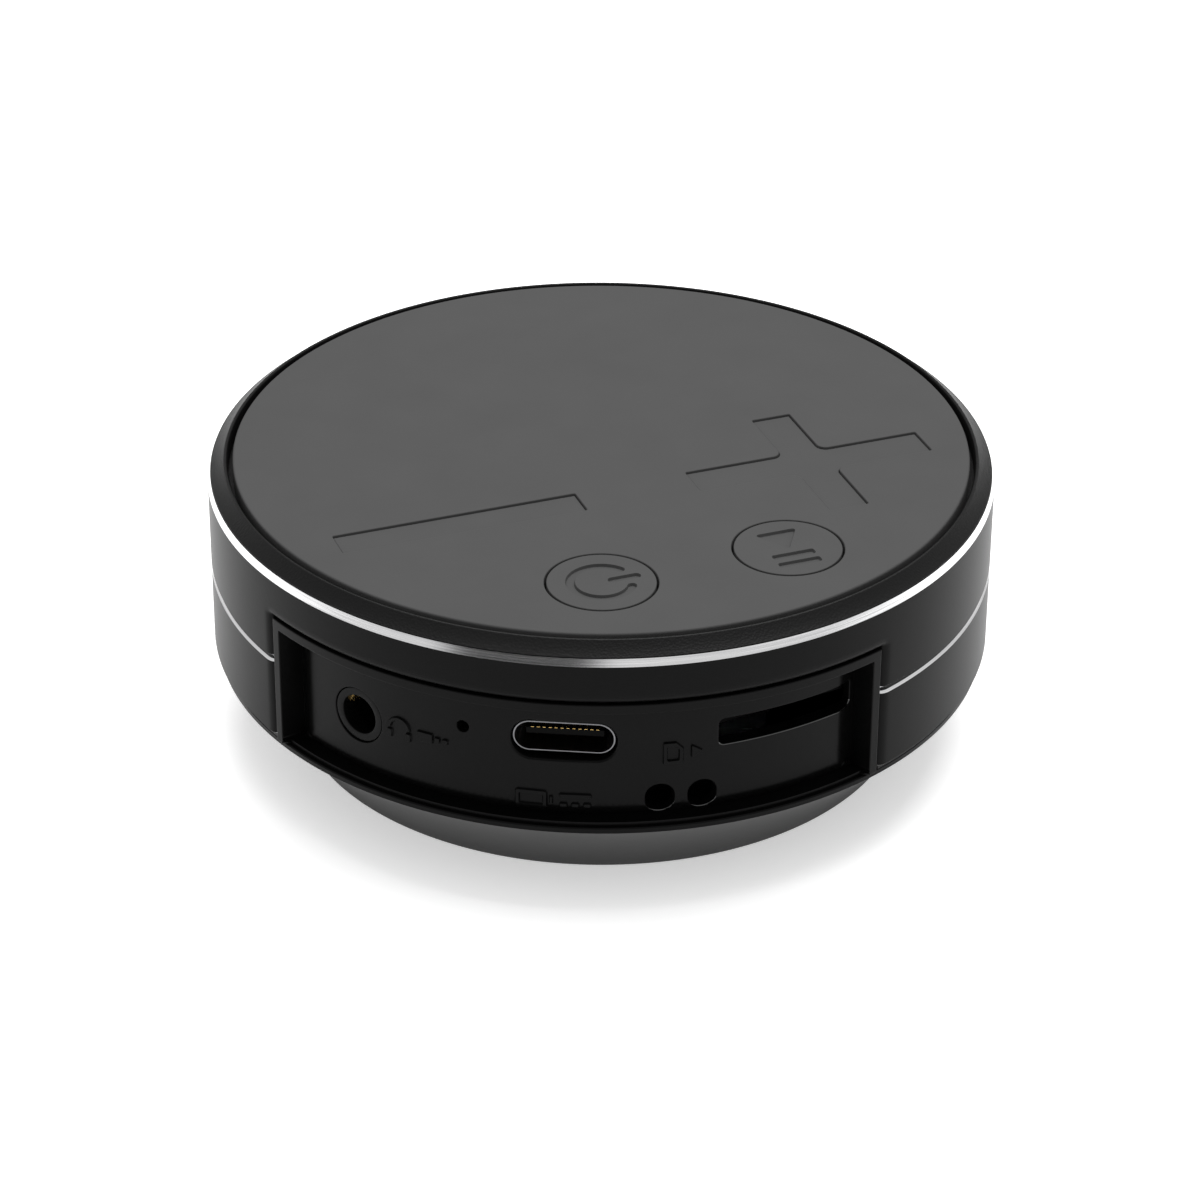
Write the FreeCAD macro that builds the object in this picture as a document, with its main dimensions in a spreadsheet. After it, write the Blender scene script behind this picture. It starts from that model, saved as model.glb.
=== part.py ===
"""A round pocket audio receiver: aluminium band, plastic shells, silicone key pad and foot.

Frame: millimetres, +Z up, origin at the middle of the foot's underside.
The port bay is centred on -Y. Angles round the case are counted from -Y towards +X.
The keys lie on a grid (u, v) that is turned about +Z by key_grid_turn.
"""
import FreeCAD, Part
import math
import os
import re

import Sketcher
from FreeCAD import Placement, Rotation, Vector

X_AXIS = Vector(1, 0, 0)
Y_AXIS = Vector(0, 1, 0)
Z_AXIS = Vector(0, 0, 1)

doc = FreeCAD.newDocument("audio_receiver")

# ---------------------------------------------------------------- driving sizes
SIZES = {
    "case": {
        "case_radius": 35.0,
        "fit_gap": 0.1,
        "key_gap": 0.15,
    },
    "silicone foot": {
        "foot_radius": 27.7,
        "foot_floor": 1.2,
        "foot_edge_round": 0.6,
        "foot_lip_height": 0.35,
        "foot_lip_round": 0.12,
        "foot_ring_inner": 21.0,
        "foot_ring_outer": 22.2,
        "foot_ring_depth": 0.4,
    },
    "lower housing": {
        "flange_bottom": 8.5,
        "flange_lip": 0.35,
        "flange_radius": 34.66,
        "housing_wall": 1.2,
        "cup_radius": 26.1,
        "dish_low": 4.0,
        "dish_high_radius": 33.7,
        "dish_wall": 1.0,
        "dish_top": 9.8,
        "boss_top": 9.8,
        "upstand_top": 21.2,
        "case_boss_radius": 2.7,
        "case_boss_place": 22.3,
        "case_boss_turn": 62.0,
        "post_radius": 2.2,
        "post_place": 27.0,
        "post_foot": 6.3,
        "post_turn_side": 95.0,
        "post_turn_rear": 150.0,
    },
    "aluminium band": {
        "band_wall": 1.4,
        "band_top": 25.17,
        "band_top_inset": 0.24,
        "band_top_chamfer": 0.67,
        "band_foot_chamfer": 0.15,
        "groove_middle": 16.55,
        "groove_half": 0.35,
        "groove_flat_half": 0.15,
        "groove_depth": 0.18,
        "notch_half_angle": 48.3,
        "notch_top": 20.9,
    },
    "top cover": {
        "bezel_crest": 26.3,
        "bezel_crest_radius": 33.4,
        "bezel_inner_radius": 33.15,
        "bezel_round": 0.18,
        "deck_top": 24.8,
        "deck_thickness": 1.2,
        "skirt_bottom": 21.6,
    },
    "key pad": {
        "pad_radius": 32.73,
        "pad_top": 26.37,
        "pad_edge_round": 0.2,
        "key_grid_turn": 26.0,
        "key_travel": 0.3,
        "cap_underside": 25.2,
        "sunk_key_top": 26.17,
        "sign_offset": 16.3,
        "sign_row": 8.9,
        "sign_length": 22.1,
        "minus_width": 3.1,
        "plus_width": 3.6,
        "plus_height": 17.7,
        "round_offset": 8.5,
        "round_row": 22.6,
        "round_key_radius": 4.75,
        "stem_radius": 1.4,
        "stem_hole_radius": 1.8,
    },
    "tact switches": {
        "switch_side": 4.5,
        "switch_height": 2.0,
        "plunger_radius": 1.1,
        "plunger_bore": 1.2,
        "plunger_top": 22.15,
        "plunger_foot": 20.3,
        "plunger_well": 19.7,
    },
    "main board": {
        "board_radius": 29.5,
        "board_bottom": 17.95,
        "board_thickness": 1.2,
        "board_boss_hole": 2.95,
        "board_screw_hole": 1.1,
        "solder_height": 0.05,
    },
    "port bay": {
        "bay_half_angle": 48.1,
        "bay_bottom": 8.5,
        "bay_top": 20.8,
        "bay_outer": 34.95,
        "bay_rim": 0.9,
        "recess_half_angle": 46.6,
        "plate_radius": 33.25,
        "plate_wall": 1.3,
        "recess_floor": 9.0,
        "recess_round": 1.0,
    },
    "audio jack": {
        "jack_turn": -33.0,
        "jack_level": 14.3,
        "jack_bore": 1.8,
        "jack_collar": 2.5,
        "jack_collar_hole": 2.62,
        "jack_front": 33.1,
        "jack_shoulder": 31.3,
        "jack_rear": 18.3,
        "jack_width": 6.0,
        "jack_below": 2.65,
        "jack_bore_depth": 14.2,
        "contact_width": 0.9,
        "contact_length": 2.6,
    },
    "microphone": {
        "mic_turn": -15.0,
        "mic_level": 16.4,
        "mic_hole": 0.55,
        "mic_radius": 1.5,
        "mic_length": 1.2,
        "mic_boot_radius": 2.2,
        "mic_boot_front": 31.85,
        "mic_boot_rear": 29.75,
    },
    "charging socket": {
        "usb_level": 16.3,
        "usb_width": 8.94,
        "usb_height": 3.26,
        "usb_wall": 0.3,
        "usb_front": 32.65,
        "usb_length": 7.35,
        "usb_opening_width": 9.8,
        "usb_opening_height": 4.4,
        "tongue_width": 6.69,
        "tongue_thickness": 0.7,
        "tongue_setback": 0.7,
        "usb_contact_width": 0.25,
        "usb_contact_pitch": 0.5,
        "usb_contact_length": 4.0,
        "usb_contact_thickness": 0.04,
    },
    "card socket": {
        "card_turn": 34.15,
        "card_slot_level": 16.25,
        "card_slot_width": 13.2,
        "card_slot_height": 2.5,
        "card_socket_width": 14.0,
        "card_socket_length": 14.6,
        "card_socket_front": 31.1,
        "card_base_bottom": 16.05,
        "card_base_height": 0.45,
        "card_cover_wall": 0.2,
    },
    "lanyard eyes": {
        "eye_turn": 17.15,
        "eye_half_spread": 3.15,
        "eye_width": 2.4,
        "eye_height": 2.75,
        "eye_level": 10.25,
        "eye_box_width": 9.0,
        "eye_box_top": 12.9,
        "eye_box_rear": 28.9,
        "eye_box_wall": 0.8,
    },
    "battery": {
        "cell_width": 32.0,
        "cell_length": 36.0,
        "cell_height": 5.8,
        "cell_round": 1.2,
        "tape_width": 26.0,
        "tape_length": 30.0,
        "tape_height": 0.7,
        "header_offset": -11.0,
        "header_row": 17.0,
        "header_width": 6.0,
        "header_depth": 4.4,
        "header_height": 4.2,
        "header_wall": 0.6,
        "plug_height": 4.6,
        "lead_radius": 0.55,
        "lead_spread": 1.0,
    },
    "screws": {
        "screw_radius": 1.0,
        "screw_clearance": 1.15,
        "screw_head_radius": 1.9,
        "screw_head_height": 1.2,
        "case_screw_floor": 3.0,
        "case_screw_length": 12.0,
        "case_head_hole": 2.1,
        "board_screw_length": 5.0,
        "screw_recess": 0.7,
        "screw_recess_radius": 0.75,
    },
}

sheet = doc.addObject("Spreadsheet::Sheet", "Sizes")


def fill_sheet():
    """One row per size: section, alias and value."""
    row = 1
    for section, cells in SIZES.items():
        for alias, size in cells.items():
            sheet.set(f"A{row}", section)
            sheet.set(f"B{row}", alias)
            sheet.set(f"C{row}", str(size))
            sheet.setAlias(f"C{row}", alias)
            row += 1
    doc.recompute()


fill_sheet()


# ---------------------------------------------------------------- helpers
def formula(text):
    """The text with every size name pointed at the sheet."""
    return re.sub(r"[a-z][a-z_0-9]*", lambda word: "Sizes." + word.group(), text)


def number(text):
    """What a formula of size names comes to."""
    return float(sheet.evalExpression(formula(text)))


def bind(piece, **sizes):
    """Bind properties of an object to formulas of size names."""
    for name, text in sizes.items():
        piece.setExpression(name, formula(text))


def labelled(piece, label):
    piece.Label = label
    return piece


def bay_frame(turn, level="0"):
    """Local x runs round the case, y is up and z points out of the case."""
    lean = Rotation(Z_AXIS, number(turn)) * Rotation(X_AXIS, 90)
    return Placement(Vector(0, 0, number(level)), lean)


def around(turn, radius, level):
    """Upright, at an angle and radius from the case's axis."""
    angle = math.radians(number(turn))
    reach = number(radius)
    return Placement(Vector(reach * math.sin(angle), -reach * math.cos(angle), number(level)), Rotation())


def key_frame(across, up, level):
    """On the turned grid of the keys."""
    grid = Rotation(Z_AXIS, number("key_grid_turn"))
    place = grid.multVec(Vector(number(across), number(up), 0))
    return Placement(place + Vector(0, 0, number(level)), grid)


def upright(x, y, level):
    return Placement(Vector(number(x), number(y), number(level)), Rotation())


def shifted(frame, x="0", y="0", z="0"):
    """A frame moved along its own axes."""
    return frame * Placement(Vector(number(x), number(y), number(z)), Rotation())


def cylinder(name, radius, height, frame):
    piece = doc.addObject("Part::Cylinder", name)
    bind(piece, Radius=radius, Height=height)
    piece.Placement = frame
    return piece


def box(name, width, depth, height, frame):
    """A box centred on its frame's x and y, standing on its z = 0."""
    piece = doc.addObject("Part::Box", name)
    bind(piece, Length=width, Width=depth, Height=height)
    piece.Placement = shifted(frame, f"0 - ({width}) / 2", f"0 - ({depth}) / 2")
    return piece


def fuse(name, *pieces):
    whole = doc.addObject("Part::MultiFuse", name)
    whole.Shapes = list(pieces)
    whole.Refine = True
    return whole


def cut(name, base, *tools):
    tool = tools[0] if len(tools) == 1 else fuse(name + "_tools", *tools)
    rest = doc.addObject("Part::Cut", name)
    rest.Base = base
    rest.Tool = tool
    return rest


def group(name, pieces):
    """Separate solids that share one node."""
    whole = doc.addObject("Part::Compound", name)
    whole.Links = list(pieces)
    return whole


def obround(name, width, height, length, frame):
    """A slot-shaped bar: a box with a half-round end on each side."""
    radius = f"({height}) / 2"
    reach = f"(({width}) - ({height})) / 2"
    core = box(name + "_core", f"({width}) - ({height})", height, length, frame)
    ends = [cylinder(f"{name}_end_{side}", radius, length, shifted(frame, f"{sign} * ({reach})"))
            for side, sign in (("low", "-1"), ("high", "1"))]
    return fuse(name, core, *ends)


def origin_plane(body, role):
    return next(part for part in body.Origin.OriginFeatures if part.Role == role)


def pin(sketch, line, kind, axis, text):
    """Hold a line's first point at a formula's distance from the origin."""
    if abs(number(text)) < 1e-9:
        sketch.addConstraint(Sketcher.Constraint("PointOnObject", line, 1, axis))
        return
    held = sketch.addConstraint(Sketcher.Constraint(kind, -1, 1, line, 1, number(text)))
    sketch.setExpression(f"Constraints[{held}]", formula(text))


def half_section(body, name, corners):
    """A closed outline of (radius, height) corners, drawn in the half plane through -Y."""
    sketch = body.newObject("Sketcher::SketchObject", name)
    sketch.AttachmentSupport = [(origin_plane(body, "XZ_Plane"), "")]
    sketch.MapMode = "FlatFace"
    sketch.AttachmentOffset = Placement(Vector(), Rotation(Y_AXIS, -90))
    points = [Vector(number(radius), number(height), 0) for radius, height in corners]
    count = len(points)
    for start in range(count):
        sketch.addGeometry(Part.LineSegment(points[start], points[(start + 1) % count]))
    for start in range(count):
        sketch.addConstraint(Sketcher.Constraint("Coincident", start, 2, (start + 1) % count, 1))
    for start, (radius, height) in enumerate(corners):
        pin(sketch, start, "DistanceX", -2, radius)
        pin(sketch, start, "DistanceY", -1, height)
    return sketch


def turn(body, name, corners, half_angle=None, remove=False):
    """Revolve an outline all the way round, or by half_angle to each side of -Y."""
    sketch = half_section(body, name + "_outline", corners)
    kind = "PartDesign::Groove" if remove else "PartDesign::Revolution"
    feature = body.newObject(kind, name)
    feature.Profile = sketch
    feature.ReferenceAxis = (sketch, ["V_Axis"])
    if half_angle is None:
        feature.Angle = 360
    else:
        feature.Midplane = True
        feature.setExpression("Angle", formula(f"2 * {half_angle}"))
    before = feature_volume(body)
    doc.recompute()
    if remove and not feature_volume(body) < before:
        raise RuntimeError(f"{name} removes nothing")
    return feature


def feature_volume(body):
    return body.Shape.Volume if not body.Shape.isNull() else 0.0


def new_body(name):
    return doc.addObject("PartDesign::Body", name)


def circle_edges(shape, radius, level):
    """Names of a turned shape's arcs at a radius and height."""
    names = []
    for index, edge in enumerate(shape.Edges, start=1):
        curve = edge.Curve
        if isinstance(curve, Part.Circle):
            if abs(curve.Radius - number(radius)) < 1e-4 and abs(curve.Center.z - number(level)) < 1e-4:
                names.append(f"Edge{index}")
    return names


def upright_edges(shape, radius):
    """Names of a shape's vertical edges at a radius."""
    names = []
    for index, edge in enumerate(shape.Edges, start=1):
        if isinstance(edge.Curve, Part.Line) and abs(abs(edge.tangentAt(0).z) - 1) < 1e-6:
            middle = edge.CenterOfMass
            if abs(math.hypot(middle.x, middle.y) - number(radius)) < 1e-3:
                names.append(f"Edge{index}")
    return names


def round_off(body, name, base, edges, radius):
    feature = body.newObject("PartDesign::Fillet", name)
    feature.Base = (base, edges)
    bind(feature, Radius=radius)
    doc.recompute()
    return feature


# ---------------------------------------------------------------- aluminium band
def side_band():
    """A turned ring with a diamond-cut groove and chamfers, open in front for the port bay."""
    body = new_body("side_band")
    inner = "case_radius - band_wall"
    outer = "case_radius"
    seat = "flange_bottom + flange_lip"
    groove_low = "groove_middle - groove_half"
    groove_high = "groove_middle + groove_half"
    turn(body, "band_ring", [
        (inner, seat),
        (f"{outer} - band_foot_chamfer", seat),
        (outer, f"{seat} + band_foot_chamfer"),
        (outer, groove_low),
        (f"{outer} - groove_depth", "groove_middle - groove_flat_half"),
        (f"{outer} - groove_depth", "groove_middle + groove_flat_half"),
        (outer, groove_high),
        (outer, "band_top - band_top_chamfer"),
        (f"{outer} - band_top_inset", "band_top"),
        (inner, "band_top"),
    ])
    turn(body, "band_notch", [
        (f"{inner} - 1", f"{seat} - 1"),
        (f"{outer} + 1", f"{seat} - 1"),
        (f"{outer} + 1", "notch_top"),
        (f"{inner} - 1", "notch_top"),
    ], half_angle="notch_half_angle", remove=True)
    return labelled(body, "side_band")


# ---------------------------------------------------------------- lower housing and its screws
CASE_BOSSES = ("case_boss_turn", "180", "0 - case_boss_turn")
BOARD_POSTS = ("post_turn_side", "post_turn_rear", "0 - post_turn_side")
CASE_SCREW_SEAT = "case_screw_floor"


def lower_housing():
    """The moulded base: battery cup, dish, flange, upstand, screw bosses and board posts."""
    body = new_body("housing_shell")
    cup_inner = "cup_radius - housing_wall"
    cup_floor = "foot_floor + housing_wall"
    wall_outer = "case_radius - band_wall - 2 * fit_gap"
    wall_inner = f"{wall_outer} - housing_wall"
    lip_top = "flange_bottom + flange_lip"
    turn(body, "housing_turned", [
        ("0", "foot_floor"),
        ("cup_radius", "foot_floor"),
        ("cup_radius", "dish_low"),
        ("dish_high_radius", "flange_bottom"),
        ("flange_radius", "flange_bottom"),
        ("flange_radius", lip_top),
        (wall_outer, lip_top),
        (wall_outer, "upstand_top"),
        (wall_inner, "upstand_top"),
        (wall_inner, "dish_top"),
        (cup_inner, "dish_low + dish_wall"),
        (cup_inner, cup_floor),
        ("0", cup_floor),
    ])
    turn(body, "housing_bay_gap", [
        ("plate_radius - plate_wall - fit_gap", "bay_bottom"),
        ("case_radius + 1", "bay_bottom"),
        ("case_radius + 1", "upstand_top + 1"),
        ("plate_radius - plate_wall - fit_gap", "upstand_top + 1"),
    ], half_angle="notch_half_angle + 1", remove=True)
    bosses = []
    holes = []
    for index, place in enumerate(CASE_BOSSES):
        bosses.append(cylinder(f"case_boss_{index}", "case_boss_radius", f"boss_top - ({cup_floor}) + 0.5",
                               around(place, "case_boss_place", f"{cup_floor} - 0.5")))
        holes.append(cylinder(f"case_head_hole_{index}", "case_head_hole", "case_screw_floor - foot_floor + 1",
                              around(place, "case_boss_place", "foot_floor - 1")))
        holes.append(cylinder(f"case_shank_hole_{index}", "screw_clearance", "boss_top",
                              around(place, "case_boss_place", "foot_floor")))
    for index, place in enumerate(BOARD_POSTS):
        bosses.append(cylinder(f"board_post_{index}", "post_radius", "board_bottom - post_foot",
                               around(place, "post_place", "post_foot")))
        holes.append(cylinder(f"board_pilot_{index}", "screw_radius", "board_screw_length",
                              around(place, "post_place", "board_bottom - board_screw_length + 0.5")))
    eye_room = box("eye_box_room", "eye_box_width + 2 * fit_gap", "eye_box_top", "plate_radius - eye_box_rear",
                   shifted(bay_frame("eye_turn", "bay_bottom"), y="eye_box_top / 2", z="eye_box_rear - fit_gap"))
    shell = fuse("housing_with_bosses", body, *bosses)
    return labelled(cut("lower_housing", shell, eye_room, *holes), "lower_housing")


def screw(name, frame, length):
    """A pan-head screw whose head stands on the frame's z = 0 and whose shank runs down."""
    head = cylinder(name + "_head", "screw_head_radius", "screw_head_height", frame)
    shank = cylinder(name + "_shank", "screw_radius", length, shifted(frame, z=f"0 - ({length})"))
    recess = cylinder(name + "_recess", "screw_recess_radius", "screw_recess + 0.1",
                      shifted(frame, z="screw_head_height - screw_recess"))
    return cut(name, fuse(name + "_blank", head, shank), recess)


def case_screws():
    """Screws driven up from under the foot into the top cover's bosses."""
    flip = Placement(Vector(), Rotation(X_AXIS, 180))
    screws = [screw(f"case_screw_{index}", around(place, "case_boss_place", CASE_SCREW_SEAT) * flip,
                    "case_screw_length")
              for index, place in enumerate(CASE_BOSSES)]
    return labelled(group("case_screws", screws), "case_screws")


def board_screws():
    """Screws driven down through the board into the housing's posts."""
    screws = [screw(f"board_screw_{index}",
                    around(place, "post_place", "board_bottom + board_thickness"),
                    "board_screw_length")
              for index, place in enumerate(BOARD_POSTS)]
    return labelled(group("board_screws", screws), "board_screws")


# ---------------------------------------------------------------- foot
def base_foot():
    """A silicone boot over the housing's cup and dish; it is what the receiver stands on."""
    body = new_body("base_foot")
    lip_foot = "flange_bottom - foot_lip_height"
    ring = turn(body, "foot_turned", [
        ("0", "0"),
        ("foot_ring_inner", "0"),
        ("foot_ring_inner", "foot_ring_depth"),
        ("foot_ring_outer", "foot_ring_depth"),
        ("foot_ring_outer", "0"),
        ("foot_radius", "0"),
        ("flange_radius", lip_foot),
        ("flange_radius", "flange_bottom"),
        ("dish_high_radius", "flange_bottom"),
        ("cup_radius", "dish_low"),
        ("cup_radius", "foot_floor"),
        ("0", "foot_floor"),
    ])
    rounded = round_off(body, "foot_edge", ring, circle_edges(ring.Shape, "foot_radius", "0"), "foot_edge_round")
    lip = circle_edges(rounded.Shape, "flange_radius", lip_foot)
    lip += circle_edges(rounded.Shape, "flange_radius", "flange_bottom")
    round_off(body, "foot_lip_edges", rounded, lip, "foot_lip_round")
    return labelled(body, "base_foot")


# ---------------------------------------------------------------- top cover, pad and keys
def minus_outline(name, height, frame, grow="0"):
    return box(name, f"sign_length + 2 * ({grow})", f"minus_width + 2 * ({grow})", height, frame)


def plus_outline(name, height, frame, grow="0"):
    along = box(name + "_along", f"sign_length + 2 * ({grow})", f"plus_width + 2 * ({grow})", height, frame)
    across = box(name + "_across", f"plus_width + 2 * ({grow})", f"plus_height + 2 * ({grow})", height, frame)
    return fuse(name, along, across)


def round_outline(name, height, frame, grow="0"):
    return cylinder(name, f"round_key_radius + ({grow})", height, frame)


KEYS = {
    "minus": {"across": "0 - sign_offset", "up": "0 - sign_row", "top": "sunk_key_top", "outline": minus_outline},
    "plus": {"across": "sign_offset", "up": "0 - sign_row", "top": "sunk_key_top", "outline": plus_outline},
    "power": {"across": "0 - round_offset", "up": "0 - round_row", "top": "pad_top", "outline": round_outline},
    "mode": {"across": "round_offset", "up": "0 - round_row", "top": "pad_top", "outline": round_outline},
}


def top_cover():
    """Bezel, deck and skirt in one moulding, with bosses for the case screws."""
    body = new_body("cover_shell")
    skirt_outer = "case_radius - band_wall - 2 * fit_gap"
    skirt_inner = f"{skirt_outer} - housing_wall"
    deck_under = "deck_top - deck_thickness"
    ring = turn(body, "cover_turned", [
        ("0", deck_under),
        (skirt_inner, deck_under),
        (skirt_inner, "skirt_bottom"),
        (skirt_outer, "skirt_bottom"),
        (skirt_outer, "band_top"),
        ("case_radius - band_top_inset", "band_top"),
        ("bezel_crest_radius", "bezel_crest"),
        ("bezel_inner_radius", "bezel_crest"),
        ("bezel_inner_radius", "deck_top"),
        ("0", "deck_top"),
    ])
    crest = circle_edges(ring.Shape, "bezel_inner_radius", "bezel_crest")
    round_off(body, "bezel_crest_round", ring, crest, "bezel_round")
    bosses = []
    holes = []
    for index, place in enumerate(CASE_BOSSES):
        bosses.append(cylinder(f"cover_boss_{index}", "case_boss_radius - fit_gap",
                               f"{deck_under} - boss_top - fit_gap + 0.5",
                               around(place, "case_boss_place", "boss_top + fit_gap")))
        holes.append(cylinder(f"cover_pilot_{index}", "screw_radius", "case_screw_length",
                              around(place, "case_boss_place", "boss_top")))
    for name, key in KEYS.items():
        frame = key_frame(key["across"], key["up"], f"{deck_under} - 0.5")
        holes.append(cylinder(f"{name}_stem_hole", "stem_hole_radius", "deck_thickness + 1", frame))
    shell = fuse("cover_with_bosses", body, *bosses)
    return labelled(cut("top_cover", shell, *holes), "top_cover")


def key_pad():
    """The silicone top skin, with a window for each key."""
    body = new_body("pad_disc")
    disc = turn(body, "pad_turned", [
        ("0", "deck_top"),
        ("pad_radius", "deck_top"),
        ("pad_radius", "pad_top"),
        ("0", "pad_top"),
    ])
    round_off(body, "pad_edge", disc, circle_edges(disc.Shape, "pad_radius", "pad_top"), "pad_edge_round")
    windows = [key["outline"](f"{name}_window", "pad_top - deck_top + 1",
                              key_frame(key["across"], key["up"], "deck_top - 0.5"), "key_gap")
               for name, key in KEYS.items()]
    return labelled(cut("key_pad", body, *windows), "key_pad")


def key_cap(name):
    """A key's cap with the stem that reaches down to its switch."""
    key = KEYS[name]
    cap = key["outline"](f"{name}_cap", f"{key['top']} - cap_underside",
                         key_frame(key["across"], key["up"], "cap_underside"))
    stem = cylinder(f"{name}_stem", "stem_radius", "cap_underside - plunger_top + 0.3",
                    key_frame(key["across"], key["up"], "plunger_top"))
    return labelled(fuse(f"{name}_key", cap, stem), f"{name}_key")


def key_plunger(name):
    key = KEYS[name]
    plunger = cylinder(f"{name}_plunger", "plunger_radius", "plunger_top - plunger_foot",
                       key_frame(key["across"], key["up"], "plunger_foot"))
    return labelled(plunger, f"{name}_plunger")


def switch_housings():
    """The four tact switches' cases, each with a well for its plunger."""
    cases = []
    for name, key in KEYS.items():
        base = "board_bottom + board_thickness"
        case = box(f"{name}_switch_case", "switch_side", "switch_side", "switch_height",
                   key_frame(key["across"], key["up"], base))
        well = cylinder(f"{name}_switch_well", "plunger_bore", "switch_height",
                        key_frame(key["across"], key["up"], "plunger_well"))
        cases.append(cut(f"{name}_switch", case, well))
    return labelled(group("switch_housings", cases), "switch_housings")


# ---------------------------------------------------------------- board and what is soldered to it
def main_board():
    disc = cylinder("board_disc", "board_radius", "board_thickness", upright("0", "0", "board_bottom"))
    holes = [cylinder(f"board_boss_hole_{index}", "board_boss_hole", "board_thickness + 2",
                      around(place, "case_boss_place", "board_bottom - 1"))
             for index, place in enumerate(CASE_BOSSES)]
    holes += [cylinder(f"board_screw_hole_{index}", "board_screw_hole", "board_thickness + 2",
                       around(place, "post_place", "board_bottom - 1"))
              for index, place in enumerate(BOARD_POSTS)]
    return labelled(cut("main_board", disc, *holes), "main_board")


TOP_CHIPS = {
    "bluetooth_chip": {"x": "-2", "y": "5", "width": "7", "depth": "7", "height": "0.9"},
    "charger_chip": {"x": "10", "y": "12", "width": "3.9", "depth": "4.9", "height": "1.5"},
    "audio_amplifier": {"x": "-15", "y": "2", "width": "3.9", "depth": "4.9", "height": "1.5"},
    "crystal": {"x": "-9", "y": "8", "width": "3.2", "depth": "2.5", "height": "0.8"},
    "chip_antenna": {"x": "-8", "y": "26", "width": "5.2", "depth": "2", "height": "1.2"},
}


def chip(name):
    """A rectangular component on the board's top side."""
    place = TOP_CHIPS[name]
    base = "board_bottom + board_thickness"
    piece = box(name, place["width"], place["depth"], place["height"], upright(place["x"], place["y"], base))
    return labelled(piece, name)


PASSIVE_ROWS = (("4", "3"), ("4", "6"), ("4", "9"), ("-2", "11"), ("-14", "9"), ("9", "5"))


def chip_resistors():
    """Small resistors and capacitors in short rows beside the chips."""
    parts = []
    for row, (x, y) in enumerate(PASSIVE_ROWS):
        for step in range(3):
            frame = upright(f"{x} + {step} * 1.5", y, "board_bottom + board_thickness")
            parts.append(box(f"passive_{row}_{step}", "0.8", "1.6", "0.6", frame))
    return labelled(group("chip_resistors", parts), "chip_resistors")


# ---------------------------------------------------------------- sockets in the port bay
def port_bay():
    """The moulded insert in the band's notch: rim, curved socket plate, holes and lanyard eyes."""
    body = new_body("bay_shell")
    inner = "plate_radius - plate_wall"
    turn(body, "bay_block", [
        (inner, "bay_bottom"),
        ("bay_outer", "bay_bottom"),
        ("bay_outer", "bay_top"),
        (inner, "bay_top"),
    ], half_angle="bay_half_angle")
    recess = turn(body, "bay_recess", [
        ("plate_radius", "recess_floor"),
        ("case_radius + 1", "recess_floor"),
        ("case_radius + 1", "bay_top - bay_rim"),
        ("plate_radius", "bay_top - bay_rim"),
    ], half_angle="recess_half_angle", remove=True)
    corners = circle_edges(recess.Shape, "plate_radius", "recess_floor")
    corners += upright_edges(recess.Shape, "plate_radius")
    round_off(body, "bay_recess_round", recess, corners, "recess_round")
    turn(body, "bay_sill", [
        ("flange_radius", "bay_bottom - 1"),
        ("case_radius + 1", "bay_bottom - 1"),
        ("case_radius + 1", "recess_floor"),
        ("flange_radius", "recess_floor"),
    ], half_angle="recess_half_angle", remove=True)

    eye_frame = bay_frame("eye_turn")
    eye_box_height = "eye_box_top - bay_bottom"
    eye_box = box("eye_box", "eye_box_width", eye_box_height, "plate_radius - plate_wall / 2 - eye_box_rear",
                  shifted(eye_frame, y=f"bay_bottom + ({eye_box_height}) / 2", z="eye_box_rear"))
    cavity_height = f"{eye_box_height} - eye_box_wall - (recess_floor - bay_bottom)"
    eye_cavity = box("eye_cavity", "eye_box_width - 2 * eye_box_wall", cavity_height,
                     "plate_radius - plate_wall - eye_box_rear - eye_box_wall",
                     shifted(eye_frame, y=f"recess_floor + ({cavity_height}) / 2",
                             z="eye_box_rear + eye_box_wall"))
    openings = [
        cylinder("jack_opening", "jack_collar_hole", "plate_wall + 4",
                 shifted(bay_frame("jack_turn", "jack_level"), z="plate_radius - plate_wall - 2")),
        cylinder("mic_opening", "mic_hole", "plate_wall + 4",
                 shifted(bay_frame("mic_turn", "mic_level"), z="plate_radius - plate_wall - 2")),
        obround("usb_opening", "usb_opening_width", "usb_opening_height", "plate_wall + 4",
                shifted(bay_frame("0", "usb_level"), z="plate_radius - plate_wall - 2")),
        box("card_opening", "card_slot_width", "card_slot_height", "plate_wall + 5",
            shifted(bay_frame("card_turn", "card_slot_level"), z="plate_radius - plate_wall - 3")),
        eye_cavity,
    ]
    for side in ("-", "+"):
        name = "left" if side == "-" else "right"
        frame = bay_frame(f"eye_turn {side} eye_half_spread", "eye_level")
        upended = shifted(frame, z="plate_radius - plate_wall - 0.6") * Placement(Vector(), Rotation(Z_AXIS, 90))
        openings.append(obround(f"eye_{name}", "eye_height", "eye_width", "plate_wall + 2", upended))
    return labelled(cut("port_bay", fuse("bay_with_eye_box", body, eye_box), *openings), "port_bay")


def aux_jack():
    """A 3.5 mm socket: a moulded body with a round collar that shows in the plate."""
    frame = bay_frame("jack_turn", "jack_level")
    top = "board_bottom - jack_level"
    height = f"{top} + jack_below"
    case = box("jack_case", "jack_width", height, "jack_shoulder - jack_rear",
               shifted(frame, y=f"({height}) / 2 - jack_below", z="jack_rear"))
    collar = cylinder("jack_collar_tube", "jack_collar", "jack_front - jack_shoulder + 1",
                      shifted(frame, z="jack_shoulder - 1"))
    bore = cylinder("jack_bore_tool", "jack_bore", "jack_bore_depth + 1",
                    shifted(frame, z="jack_front - jack_bore_depth"))
    slots = [jack_contact_block(index, "fit_gap") for index in range(len(JACK_CONTACTS))]
    return labelled(cut("aux_jack", fuse("jack_blank", case, collar), bore, *slots), "aux_jack")


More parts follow.
